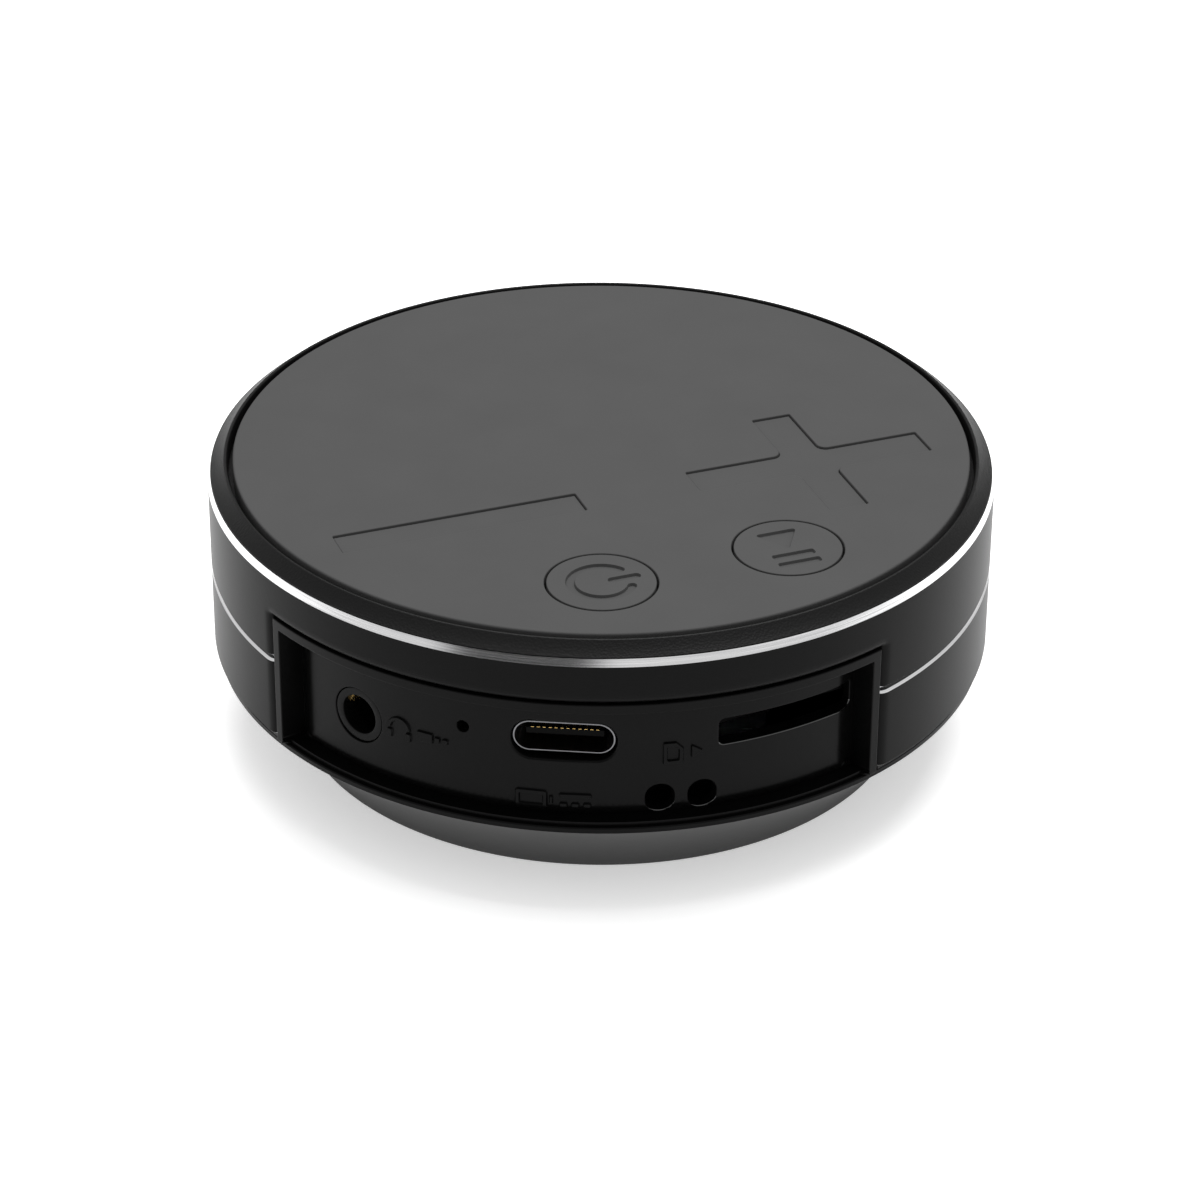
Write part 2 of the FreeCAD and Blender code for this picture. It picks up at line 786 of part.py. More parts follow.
JACK_CONTACTS = (("-1", "22"), ("1", "25.5"), ("-1", "28"))


def jack_contact_block(index, grow):
    """The room of one leaf contact, beside the bore."""
    side, reach = JACK_CONTACTS[index]
    frame = shifted(bay_frame("jack_turn", "jack_level"), f"{side} * (jack_bore + 0.55)", z=f"{reach} - ({grow})")
    tag = "slot" if grow != "0" else "leaf"
    return box(f"jack_{tag}_{index}", f"0.5 + 2 * ({grow})", f"contact_width + 2 * ({grow})",
               f"contact_length + 2 * ({grow})", frame)


def aux_contacts():
    leaves = [jack_contact_block(index, "0") for index in range(len(JACK_CONTACTS))]
    return labelled(group("aux_contacts", leaves), "aux_contacts")


def mic_boot():
    """A rubber sleeve that seals the microphone against the plate."""
    frame = bay_frame("mic_turn", "mic_level")
    sleeve = cylinder("mic_sleeve", "mic_boot_radius", "mic_boot_front - mic_boot_rear",
                      shifted(frame, z="mic_boot_rear"))
    pocket = cylinder("mic_pocket", "mic_radius", "mic_length + 1", shifted(frame, z="mic_boot_rear - 1"))
    channel = cylinder("mic_channel", "mic_hole", "mic_boot_front", shifted(frame, z="mic_boot_rear"))
    return labelled(cut("mic_boot", sleeve, pocket, channel), "mic_boot")


def microphone():
    capsule = cylinder("microphone", "mic_radius", "mic_length",
                       shifted(bay_frame("mic_turn", "mic_level"), z="mic_boot_rear"))
    return labelled(capsule, "microphone")


def usb_c_shell():
    """The socket's drawn metal shell, open at the front."""
    frame = shifted(bay_frame("0", "usb_level"), z="usb_front - usb_length")
    outside = obround("usb_outside", "usb_width", "usb_height", "usb_length", frame)
    inside = obround("usb_inside", "usb_width - 2 * usb_wall", "usb_height - 2 * usb_wall", "usb_length",
                     shifted(frame, z="usb_wall"))
    return labelled(cut("usb_c_shell", outside, inside), "usb_c_shell")


def usb_c_tongue():
    frame = shifted(bay_frame("0", "usb_level"), z="usb_front - usb_length + usb_wall")
    tongue = box("usb_c_tongue", "tongue_width", "tongue_thickness",
                 "usb_length - usb_wall - tongue_setback", frame)
    return labelled(tongue, "usb_c_tongue")


def usb_c_contacts():
    """Two rows of twelve plated contacts, one on each side of the tongue."""
    strips = []
    count = 12
    for face, side in (("lower", "-1"), ("upper", "1")):
        rise = f"{side} * (tongue_thickness + usb_contact_thickness) / 2"
        for step in range(count):
            offset = f"({step} - {(count - 1) / 2}) * usb_contact_pitch"
            frame = shifted(bay_frame("0", "usb_level"), offset, rise,
                            "usb_front - tongue_setback - usb_contact_length - 0.3")
            strips.append(box(f"usb_{face}_{step}", "usb_contact_width", "usb_contact_thickness",
                              "usb_contact_length", frame))
    return labelled(group("usb_c_contacts", strips), "usb_c_contacts")


def card_socket_base():
    """The memory card socket's moulded tray."""
    length = "card_socket_length - card_cover_wall - fit_gap"
    frame = shifted(bay_frame("card_turn", "card_base_bottom"), z=f"card_socket_front - ({length})")
    inner_width = "card_socket_width - 2 * card_cover_wall - 2 * fit_gap"
    tray = box("card_socket_base", inner_width, "card_base_height", length,
               shifted(frame, y="card_base_height / 2"))
    return labelled(tray, "card_socket_base")


def card_socket_cover():
    """The folded sheet-metal cover over the tray, open to the slot."""
    frame = shifted(bay_frame("card_turn", "card_base_bottom"), z="card_socket_front - card_socket_length")
    height = "board_bottom - card_base_bottom"
    outside = box("card_cover_outside", "card_socket_width", height, "card_socket_length",
                  shifted(frame, y=f"({height}) / 2"))
    inside = box("card_cover_inside", "card_socket_width - 2 * card_cover_wall", height, "card_socket_length",
                 shifted(frame, y=f"({height}) / 2 - card_cover_wall", z="card_cover_wall"))
    return labelled(cut("card_socket_cover", outside, inside), "card_socket_cover")


# ---------------------------------------------------------------- battery
BATTERY_SEAT = "foot_floor + housing_wall"


def battery_tape():
    """Double-sided foam between the cell and the cup's floor."""
    tape = box("battery_tape", "tape_width", "tape_length", "tape_height", upright("0", "0", BATTERY_SEAT))
    return labelled(tape, "battery_tape")


def battery():
    """A flat lithium pouch cell with rounded long edges."""
    block = box("battery_block", "cell_width", "cell_length", "cell_height",
                upright("0", "0", f"{BATTERY_SEAT} + tape_height"))
    doc.recompute()
    rounded = doc.addObject("Part::Fillet", "battery")
    rounded.Base = block
    long_edges = [index for index, edge in enumerate(block.Shape.Edges, start=1)
                  if abs(abs(edge.tangentAt(0).y) - 1) < 1e-6]
    radius = number("cell_round")
    rounded.Edges = [(index, radius, radius) for index in long_edges]
    return labelled(rounded, "battery")


def battery_header():
    """The open-bottomed header on the board's underside."""
    frame = upright("header_offset", "header_row", "board_bottom - header_height")
    case = box("header_case", "header_width", "header_depth", "header_height", frame)
    room = box("header_room", "header_width - 2 * header_wall", "header_depth - 2 * header_wall",
               "header_height", shifted(frame, z="0 - header_wall"))
    return labelled(cut("battery_header", case, room), "battery_header")


def battery_plug():
    """The leads' plug, pushed up into the header."""
    frame = upright("header_offset", "header_row", "board_bottom - header_wall - fit_gap - plug_height")
    plug = box("battery_plug", "header_width - 2 * header_wall - 2 * fit_gap",
               "header_depth - 2 * header_wall - 2 * fit_gap", "plug_height", frame)
    return labelled(plug, "battery_plug")


def battery_leads():
    """Two short wires that rise straight from the cell's end to the plug."""
    foot = f"{BATTERY_SEAT} + tape_height + cell_height"
    head = "board_bottom - header_wall - fit_gap - plug_height"
    leads = [cylinder(f"lead_{name}", "lead_radius", f"{head} - ({foot})",
                      upright(f"header_offset {side} lead_spread", "header_row", foot))
             for name, side in (("positive", "+"), ("negative", "-"))]
    return labelled(group("battery_leads", leads), "battery_leads")


# ---------------------------------------------------------------- build, check and write
NODES = [
    side_band(), lower_housing(), case_screws(), board_screws(), base_foot(), top_cover(), key_pad(),
    main_board(), switch_housings(), chip_resistors(), port_bay(), aux_jack(), aux_contacts(),
    mic_boot(), microphone(), usb_c_shell(), usb_c_tongue(), usb_c_contacts(),
    card_socket_base(), card_socket_cover(), battery_tape(), battery(), battery_header(),
    battery_plug(), battery_leads(),
]
NODES += [key_cap(name) for name in KEYS]
NODES += [key_plunger(name) for name in KEYS]
NODES += [chip(name) for name in TOP_CHIPS]

doc.recompute()


def check(pieces):
    """Stop on any failed object and on any sub-part without a sound shape."""
    for thing in doc.Objects:
        if "Invalid" in thing.State or "Error" in thing.State:
            raise RuntimeError(f"{thing.Label} failed: {thing.State}")
    for piece in pieces:
        shape = piece.Shape
        if shape.isNull() or not shape.isValid() or not shape.Solids:
            raise RuntimeError(f"{piece.Label} has no sound shape")


def write(pieces):
    os.makedirs("parts", exist_ok=True)
    for piece in pieces:
        piece.Shape.exportStep(os.path.join("parts", piece.Label + ".step"))
        print(f"{piece.Label}: {len(piece.Shape.Solids)} solids, {piece.Shape.Volume:.1f} mm3")


check(NODES)
write(NODES)
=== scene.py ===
# %% [markdown]
# # A round pocket audio receiver
# The CAD model holds the true shapes, sizes and joints. This script dresses it: each
# visible part is rebuilt as a smooth mesh in the same place, and every part gets a
# finish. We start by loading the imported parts, which stay fixed while we work.

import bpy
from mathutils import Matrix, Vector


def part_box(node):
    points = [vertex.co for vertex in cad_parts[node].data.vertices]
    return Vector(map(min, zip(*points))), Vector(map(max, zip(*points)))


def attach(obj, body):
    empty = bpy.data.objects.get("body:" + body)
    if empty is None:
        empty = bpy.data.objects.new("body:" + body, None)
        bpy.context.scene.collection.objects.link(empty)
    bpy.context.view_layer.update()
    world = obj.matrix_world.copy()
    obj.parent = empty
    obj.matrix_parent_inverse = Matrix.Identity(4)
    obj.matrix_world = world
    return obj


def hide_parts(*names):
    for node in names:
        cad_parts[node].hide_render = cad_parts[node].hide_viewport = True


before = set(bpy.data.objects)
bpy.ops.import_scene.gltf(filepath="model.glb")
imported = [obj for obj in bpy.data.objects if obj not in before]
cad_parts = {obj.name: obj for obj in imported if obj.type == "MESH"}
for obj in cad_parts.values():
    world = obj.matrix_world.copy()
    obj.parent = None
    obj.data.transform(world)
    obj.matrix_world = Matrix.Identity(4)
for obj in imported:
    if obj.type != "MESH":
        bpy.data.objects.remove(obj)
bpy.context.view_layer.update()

# %% Units and the CAD box
import math

import bmesh
import bpy
import numpy as np
from mathutils import Matrix, Vector
from mathutils.geometry import delaunay_2d_cdt

MM = 0.001

# %% [markdown]
# ## Camera, floor and light
# The receiver is seen from slightly right of the sockets and 30 degrees above them, with
# a long lens, so the ellipses of the case stay nearly parallel. The camera comes first
# because every later choice is judged through it.

# %% Camera
camera = bpy.data.objects.new("camera", bpy.data.cameras.new("camera"))
camera.data.lens = 124.9
camera.data.sensor_width = 36
camera.data.clip_start = 0.01
look = Matrix.Rotation(math.radians(5.2), 4, "Z") @ Matrix.Rotation(math.radians(59.77), 4, "X")
roll = Matrix.Rotation(math.radians(0.32), 4, "Z")
camera.matrix_world = Matrix.Translation(Vector((29.6, -325.7, 201.1)) * MM) @ look @ roll
bpy.context.scene.collection.objects.link(camera)
bpy.context.scene.camera = camera
bpy.context.scene.view_settings.view_transform = "Standard"
print("camera stands", round(camera.location.length, 3), "m from the receiver")


# %% [markdown]
# A node tree is easier to read when each node is one line. The helper below makes a node,
# sets its options, and fills its inputs: an input given another node's output is linked,
# and anything else is typed in.

# %% One helper for nodes, one for colours
def add(tree, kind, inputs=None, **options):
    """Adds a node. Inputs are named (or numbered) sockets, and options are the node's own settings."""
    node = tree.nodes.new(kind)
    for name, value in options.items():
        setattr(node, name, value)
    for name, value in (inputs or {}).items():
        if isinstance(value, bpy.types.NodeSocket):
            tree.links.new(value, node.inputs[name])
        else:
            node.inputs[name].default_value = value
    return node


def colour(code):
    """An sRGB hex colour as the linear numbers that shaders and lights use."""
    parts = [int(code[i:i + 2], 16) / 255 for i in (1, 3, 5)]
    return tuple(c / 12.92 if c <= 0.04045 else ((c + 0.055) / 1.055) ** 2.4 for c in parts) + (1.0,)


def new_finish(name):
    """A new material and its empty tree."""
    material = bpy.data.materials.new(name)
    material.use_nodes = True
    material.node_tree.nodes.clear()
    print("finish:", name)
    return material, material.node_tree


print("mid grey is", round(colour("#808080")[0], 3), "in linear light")

# %% [markdown]
# The floor is a plain pale sheet, large enough to reach past every view. It glows a little
# from below, as a light table does, so the receiver throws only a faint shadow. The sky is a soft
# white tent that is dark low in front and greyer behind, so a polished edge has something
# dark to show next to the bright sides.

# %% Floor
floor_paint, tree = new_finish("pale paper floor")
paper_grain = add(tree, "ShaderNodeTexNoise", {"Scale": 900.0, "Detail": 2.0})
paper_bump = add(tree, "ShaderNodeBump", {"Height": paper_grain.outputs[0], "Strength": 0.05, "Distance": 0.0001})
paper = add(tree, "ShaderNodeBsdfPrincipled", {
    "Base Color": colour("#f4f4f4"), "Roughness": 0.9, "Specular IOR Level": 0.1, "Normal": paper_bump.outputs[0],
    "Emission Color": colour("#ffffff"), "Emission Strength": 0.42})
add(tree, "ShaderNodeOutputMaterial", {"Surface": paper.outputs[0]})

floor_mesh = bpy.data.meshes.new("floor")
floor_mesh.from_pydata([(-6, -6, 0), (6, -6, 0), (6, 6, 0), (-6, 6, 0)], [], [(0, 1, 2, 3)])
floor_mesh.materials.append(floor_paint)
floor = bpy.data.objects.new("floor", floor_mesh)
bpy.context.scene.collection.objects.link(floor)
print("floor is", round(floor.dimensions.x, 1), "m wide")

# %% Sky
world = bpy.data.worlds.new("studio")
bpy.context.scene.world = world
world.use_nodes = True
sky = world.node_tree
sky.nodes.clear()
direction = add(sky, "ShaderNodeTexCoord")
ahead = add(sky, "ShaderNodeVectorMath", {0: direction.outputs["Generated"], 1: (-0.27, -0.95, 0.16)},
            operation="DOT_PRODUCT")
front = add(sky, "ShaderNodeMapRange", {
    "Value": ahead.outputs["Value"], "From Min": 0.9, "From Max": 0.97, "To Min": 1.05, "To Max": 0.1},
    interpolation_type="SMOOTHSTEP")
behind = add(sky, "ShaderNodeVectorMath", {0: direction.outputs["Generated"], 1: (0.0, 0.98, 0.17)},
             operation="DOT_PRODUCT")
rear = add(sky, "ShaderNodeMapRange", {
    "Value": behind.outputs["Value"], "From Min": 0.70, "From Max": 0.97, "To Min": 1.0, "To Max": 0.45},
    interpolation_type="SMOOTHSTEP")
tent = add(sky, "ShaderNodeMath", {0: front.outputs[0], 1: rear.outputs[0]}, operation="MULTIPLY")
tent_light = add(sky, "ShaderNodeBackground", {"Color": (0.74, 0.74, 0.74, 1), "Strength": tent.outputs[0]})
add(sky, "ShaderNodeOutputWorld", {"Surface": tent_light.outputs[0]})
print("sky has", len(sky.nodes), "nodes")


# %% Soft boxes
def soft_box(name, place, size, power):
    """A square lamp that points at the receiver."""
    lamp = bpy.data.lights.new(name, "AREA")
    lamp.shape = "SQUARE"
    lamp.size = size
    lamp.energy = power
    box = bpy.data.objects.new(name, lamp)
    turn = (Vector((0, 0, 0.02)) - Vector(place)).to_track_quat("-Z", "Y").to_matrix().to_4x4()
    box.matrix_world = Matrix.Translation(place) @ turn
    bpy.context.scene.collection.objects.link(box)
    return box


soft_box("overhead box", (0.05, 0.28, 0.86), 0.8, 9.5)

# %% [markdown]
# ## Finishes
# Each finish starts from the real material and how its surface was made. Grain sizes are
# real millimetres: one pattern repeat of `size` mm needs a texture scale of 1000 / size,
# because the parts are in metres.

# %% Pattern scale from a real size
def per(size):
    """The texture scale that gives one repeat in this many millimetres."""
    return 1000.0 / size


print("a 0.25 mm grain has scale", per(0.25))

# %% Silicone rubber, moulded in a fine-blasted tool
# It looks dry, even and slightly soft: almost no mirror, a broad faint sheen, and a very
# fine grain. The mottling is a few percent, as pigment and handling leave it.
silicone, tree = new_finish("moulded grey silicone")
where = add(tree, "ShaderNodeTexCoord")
cloud = add(tree, "ShaderNodeTexNoise", {"Vector": where.outputs["Object"], "Scale": per(6), "Detail": 3.0})
tone = add(tree, "ShaderNodeMix", {0: cloud.outputs[0], 6: colour("#3d3d3d"), 7: colour("#424242")}, data_type="RGBA")
grain = add(tree, "ShaderNodeTexNoise", {"Vector": where.outputs["Object"], "Scale": per(0.22), "Detail": 2.0})
grain_bump = add(tree, "ShaderNodeBump", {"Height": grain.outputs[0], "Strength": 0.25, "Distance": 0.00004})
rubber = add(tree, "ShaderNodeBsdfPrincipled", {
    "Base Color": tone.outputs[2], "Roughness": 0.72, "Specular IOR Level": 0.3, "IOR": 1.41,
    "Normal": grain_bump.outputs[0]})
add(tree, "ShaderNodeOutputMaterial", {"Surface": rubber.outputs[0]})

# %% Aluminium, bead-blasted and anodised black
# The dyed oxide is dark and satin. It mirrors little when seen straight on and a lot at a
# grazing angle, so the round band is nearly black in front and grey at its sides.
anodised, tree = new_finish("black anodised aluminium")
where = add(tree, "ShaderNodeTexCoord")
blast = add(tree, "ShaderNodeTexNoise", {"Vector": where.outputs["Object"], "Scale": per(0.18), "Detail": 2.0})
blast_bump = add(tree, "ShaderNodeBump", {"Height": blast.outputs[0], "Strength": 0.18, "Distance": 0.00003})
dye = add(tree, "ShaderNodeTexNoise", {"Vector": where.outputs["Object"], "Scale": per(4), "Detail": 2.0})
tone = add(tree, "ShaderNodeMix", {0: dye.outputs[0], 6: colour("#060606"), 7: colour("#090909")}, data_type="RGBA")
oxide = add(tree, "ShaderNodeBsdfPrincipled", {
    "Base Color": tone.outputs[2], "Roughness": 0.36, "Specular IOR Level": 0.06, "Normal": blast_bump.outputs[0]})
add(tree, "ShaderNodeOutputMaterial", {"Surface": oxide.outputs[0]})

# %% Aluminium, diamond-cut after anodising
# A turning tool cuts the edges back to bare metal and leaves fine lines that run round the
# case. Stretching a noise along the cut gives those streaks.
cut_metal, tree = new_finish("diamond-cut bare aluminium")
where = add(tree, "ShaderNodeTexCoord")
along = add(tree, "ShaderNodeMapping", {"Vector": where.outputs["Object"], "Scale": (per(9), per(9), per(0.11))})
streak = add(tree, "ShaderNodeTexNoise", {"Vector": along.outputs[0], "Scale": 1.0, "Detail": 3.0})
tone = add(tree, "ShaderNodeMix", {0: streak.outputs[0], 6: colour("#b9b9bb"), 7: colour("#ffffff")},
           data_type="RGBA")
streak_bump = add(tree, "ShaderNodeBump", {"Height": streak.outputs[0], "Strength": 0.3, "Distance": 0.00002})
bright = add(tree, "ShaderNodeBsdfPrincipled", {
    "Base Color": tone.outputs[2], "Metallic": 1.0, "Roughness": 0.15, "Normal": streak_bump.outputs[0]})
add(tree, "ShaderNodeOutputMaterial", {"Surface": bright.outputs[0]})

# %% ABS, moulded black in a spark-eroded tool
# The tool's fine pits leave a grain that glitters a little where the light grazes it.
abs_black, tree = new_finish("moulded black ABS")
where = add(tree, "ShaderNodeTexCoord")
pits = add(tree, "ShaderNodeTexVoronoi", {"Vector": where.outputs["Object"], "Scale": per(0.2)})
pit_bump = add(tree, "ShaderNodeBump", {"Height": pits.outputs[0], "Strength": 0.4, "Distance": 0.00004})
plastic = add(tree, "ShaderNodeBsdfPrincipled", {
    "Base Color": colour("#070707"), "Roughness": 0.42, "Specular IOR Level": 0.12, "IOR": 1.54,
    "Normal": pit_bump.outputs[0]})
add(tree, "ShaderNodeOutputMaterial", {"Surface": plastic.outputs[0]})

# %% ABS, moulded black in a fine matt tool
# The socket insert comes from a smoother tool than the bezel, so its grain is finer and it
# has a soft, even sheen.
insert_black, tree = new_finish("moulded satin black ABS")
where = add(tree, "ShaderNodeTexCoord")
flow = add(tree, "ShaderNodeTexNoise", {"Vector": where.outputs["Object"], "Scale": per(3), "Detail": 3.0})
tone = add(tree, "ShaderNodeMix", {0: flow.outputs[0], 6: colour("#050505"), 7: colour("#070707")}, data_type="RGBA")
satin = add(tree, "ShaderNodeTexNoise", {"Vector": where.outputs["Object"], "Scale": per(0.2), "Detail": 2.0})
satin_bump = add(tree, "ShaderNodeBump", {"Height": satin.outputs[0], "Strength": 0.2, "Distance": 0.00003})
plastic = add(tree, "ShaderNodeBsdfPrincipled", {
    "Base Color": tone.outputs[2], "Roughness": 0.34, "Specular IOR Level": 0.06, "IOR": 1.54,
    "Normal": satin_bump.outputs[0]})
add(tree, "ShaderNodeOutputMaterial", {"Surface": plastic.outputs[0]})

# %% The same ABS where the tool's edges polish it
# Socket mouths keep a thin shiny lip, which shows as a bright line.
edge_black, tree = new_finish("polished black ABS edge")
where = add(tree, "ShaderNodeTexCoord")
nick = add(tree, "ShaderNodeTexNoise", {"Vector": where.outputs["Object"], "Scale": per(0.6), "Detail": 3.0})
wear = add(tree, "ShaderNodeMapRange", {"Value": nick.outputs[0], "To Min": 0.1, "To Max": 0.2})
plastic = add(tree, "ShaderNodeBsdfPrincipled", {
    "Base Color": colour("#060606"), "Roughness": wear.outputs[0], "Specular IOR Level": 1.0, "IOR": 1.54})
add(tree, "ShaderNodeOutputMaterial", {"Surface": plastic.outputs[0]})
print(len(bpy.data.materials), "finishes so far")

# %% [markdown]
# ## The aluminium band
# The band is a turned ring with a rectangular notch for the sockets. A polar grid suits it:
# rows follow the turned profile, columns go round the case, and cells inside the notch are
# left out. The skin is then given its inner wall. Round the notch the real edge is broken
# by hand polishing, so the skin sinks a little there.

# %% Sizes of the band, in mm
CASE_R = 35.0
BAND_WALL = 1.4
BAND_LOW, BAND_TOP = 8.85, 25.17
NOTCH_HALF = math.radians(48.3)
NOTCH_TOP = 20.9
SOFT_WIDE, SOFT_DEEP = 0.95, 0.55
BAND_PROFILE = [  # radius, height, and whether the strip above is cut back to bare metal
    (34.85, 8.85, 0), (35.0, 9.0, 0), (35.0, 9.06, 0), (35.0, 12.0, 0), (35.0, 16.12, 0), (35.0, 16.20, 1),
    (34.82, 16.40, 0), (34.82, 16.70, 1), (35.0, 16.90, 0), (35.0, 16.98, 0), (35.0, 19.0, 0), (35.0, 20.85, 0),
    (35.0, 20.9, 0), (35.0, 20.95, 0), (35.0, 21.02, 0), (35.0, 21.12, 0), (35.0, 21.28, 0), (35.0, 21.5, 0),
    (35.0, 21.85, 0), (35.0, 23.2, 0), (35.0, 24.42, 0), (35.0, 24.50, 1), (34.76, 25.17, 0),
]
print("band is", BAND_TOP - BAND_LOW, "mm high")


# %% Columns round the case, closer together beside the notch
def band_angles():
    steps = [0, 0.04, 0.1, 0.18, 0.3, 0.45, 0.65, 0.9, 1.25, 1.6, 2.1]
    edge = [NOTCH_HALF + math.radians(s) for s in steps]
    far = [edge[-1] + (2 * math.pi - 2 * edge[-1]) * k / 276 for k in range(1, 276)]
    near = [-NOTCH_HALF + 2 * NOTCH_HALF * k / 108 for k in range(1, 108)]
    return near + edge + far + [2 * math.pi - a for a in reversed(edge)]


columns = band_angles()
print("band has", len(columns), "columns")


# %% Depth of the broken edge beside the notch
def broken_edge(angle, height):
    """How far the skin sinks at this place: a quarter ellipse that starts SOFT_WIDE from the notch."""
    turn = abs((angle + math.pi) % (2 * math.pi) - math.pi)
    beside = max(0.0, turn - NOTCH_HALF) * CASE_R
    above = max(0.0, height - NOTCH_TOP)
    reach = 1 - min(1.0, math.hypot(beside, above * 1.4) / SOFT_WIDE)
    return SOFT_DEEP * (1 - math.sqrt(max(0.0, 1 - reach * reach)))


def inside_notch(angle, height):
    turn = abs((angle + math.pi) % (2 * math.pi) - math.pi)
    return turn < NOTCH_HALF - 1e-6 and height < NOTCH_TOP - 1e-6


print("edge sinks", round(broken_edge(NOTCH_HALF, 12), 2), "mm at the notch")


# %% Finish a mesh: weld, point the faces outwards, smooth with crisp corners
def settle(mesh, crisp=38, weld=1e-6):
    work = bmesh.new()
    work.from_mesh(mesh)
    bmesh.ops.remove_doubles(work, verts=work.verts, dist=weld)
    bmesh.ops.recalc_face_normals(work, faces=work.faces)
    work.to_mesh(mesh)
    work.free()
    mesh.shade_smooth()
    mesh.set_sharp_from_angle(angle=math.radians(crisp))
    return mesh


def piece(name, mesh, body, slot, *nodes):
    """Puts a finished mesh in the scene on its CAD body, standing for these CAD parts."""
    thing = bpy.data.objects.new(name, mesh)
    bpy.context.scene.collection.objects.link(thing)
    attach(thing, body)
    if nodes:
        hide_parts(*nodes)
    print(f"{name}: {len(mesh.vertices)} points, {len(mesh.polygons)} faces")
    return thing


def polar(radius, angle, height):
    """A point by its radius, its angle from the front towards the right, and its height, in mm."""
    return Vector((radius * math.sin(angle), -radius * math.cos(angle), height)) * MM


# %% Build the band
def band_mesh():
    work = bmesh.new()
    rows = len(BAND_PROFILE)
    outer, inner = {}, {}
    for c, angle in enumerate(columns):
        for r, (radius, height, _) in enumerate(BAND_PROFILE):
            sink = broken_edge(angle, height) if height < NOTCH_TOP + SOFT_WIDE else 0.0
            outer[c, r] = work.verts.new(polar(radius - sink, angle, height))
            inner[c, r] = work.verts.new(polar(CASE_R - BAND_WALL, angle, height))
    edge_use = {}
    for c in range(len(columns)):
        d = (c + 1) % len(columns)
        span = (columns[d] - columns[c]) % (2 * math.pi)
        for r in range(rows - 1):
            middle = (BAND_PROFILE[r][1] + BAND_PROFILE[r + 1][1]) / 2
            if inside_notch(columns[c] + span / 2, middle):
                continue
            face = work.faces.new((outer[c, r], outer[d, r], outer[d, r + 1], outer[c, r + 1]))
            face.material_index = BAND_PROFILE[r][2]
            tick = abs(abs((columns[c] + math.pi) % (2 * math.pi) - math.pi) - NOTCH_HALF) < math.radians(2.2)
            if r < 1 and tick:
                face.material_index = 1
            work.faces.new((inner[c, r + 1], inner[d, r + 1], inner[d, r], inner[c, r]))
            for a, b in (((c, r), (d, r)), ((d, r), (d, r + 1)), ((d, r + 1), (c, r + 1)), ((c, r + 1), (c, r))):
                key = tuple(sorted((a, b)))
                edge_use.setdefault(key, []).append((a, b))
    for uses in edge_use.values():
        if len(uses) == 1:
            a, b = uses[0]
            work.faces.new((outer[b], outer[a], inner[a], inner[b]))
    bmesh.ops.delete(work, geom=[v for v in work.verts if not v.link_faces], context="VERTS")
    mesh = bpy.data.meshes.new("band")
    work.to_mesh(mesh)
    work.free()
    return mesh


mesh = settle(band_mesh(), crisp=17)
mesh.materials.append(anodised)
mesh.materials.append(cut_metal)
piece("aluminium_band", mesh, "receiver", "anodised_aluminium", "side_band")

# %% [markdown]
# ## Turned parts
# The bezel, the foot, its flange and the jack are all a profile turned about an axis, so
# one Geometry Nodes tree makes them all. The object's own mesh is only
# the profile: a ring of points in the XZ plane. The tree lays a grid with one row for each
# profile point, moves every grid point to its profile point, turns it round Z by its
# column, and welds the seam.

# %% The turning tree
turning = bpy.data.node_groups.new("turn a profile", "GeometryNodeTree")
turning.interface.new_socket("Profile", in_out="INPUT", socket_type="NodeSocketGeometry")
segments_in = turning.interface.new_socket("Segments", in_out="INPUT", socket_type="NodeSocketInt")
crisp_in = turning.interface.new_socket("Crisp angle", in_out="INPUT", socket_type="NodeSocketFloat")
finish_in = turning.interface.new_socket("Finish", in_out="INPUT", socket_type="NodeSocketMaterial")
turning.interface.new_socket("Part", in_out="OUTPUT", socket_type="NodeSocketGeometry")

given = add(turning, "NodeGroupInput").outputs
count = add(turning, "GeometryNodeAttributeDomainSize", {"Geometry": given["Profile"]}, component="MESH")
rows = add(turning, "FunctionNodeIntegerMath", {0: count.outputs["Point Count"], 1: 1}, operation="ADD")
across = add(turning, "FunctionNodeIntegerMath", {0: given["Segments"], 1: 1}, operation="ADD")
grid = add(turning, "GeometryNodeMeshGrid", {"Vertices X": rows.outputs[0], "Vertices Y": across.outputs[0]})
index = add(turning, "GeometryNodeInputIndex")
row = add(turning, "FunctionNodeIntegerMath", {0: index.outputs[0], 1: across.outputs[0]}, operation="DIVIDE_FLOOR")
wrapped = add(turning, "FunctionNodeIntegerMath", {0: row.outputs[0], 1: count.outputs["Point Count"]},
              operation="MODULO")
column = add(turning, "FunctionNodeIntegerMath", {0: index.outputs[0], 1: across.outputs[0]}, operation="MODULO")
position = add(turning, "GeometryNodeInputPosition")
corner = add(turning, "GeometryNodeSampleIndex",
             {"Geometry": given["Profile"], "Value": position.outputs[0], "Index": wrapped.outputs[0]},
             data_type="FLOAT_VECTOR", domain="POINT")
part_turn = add(turning, "ShaderNodeMath", {0: column.outputs[0], 1: given["Segments"]}, operation="DIVIDE")
angle = add(turning, "ShaderNodeMath", {0: part_turn.outputs[0], 1: 2 * math.pi}, operation="MULTIPLY")
turned = add(turning, "ShaderNodeVectorRotate", {"Vector": corner.outputs[0], "Angle": angle.outputs[0]},
             rotation_type="Z_AXIS")
placed = add(turning, "GeometryNodeSetPosition", {"Geometry": grid.outputs["Mesh"], "Position": turned.outputs[0]})
welded = add(turning, "GeometryNodeMergeByDistance", {"Geometry": placed.outputs[0], "Distance": 2e-7})
bend = add(turning, "GeometryNodeInputMeshEdgeAngle")
sharp = add(turning, "FunctionNodeCompare", {0: bend.outputs["Unsigned Angle"], 1: given["Crisp angle"]},
            data_type="FLOAT", operation="GREATER_THAN")
smooth = add(turning, "GeometryNodeSetShadeSmooth", {"Geometry": welded.outputs[0], "Shade Smooth": True},
             domain="FACE")
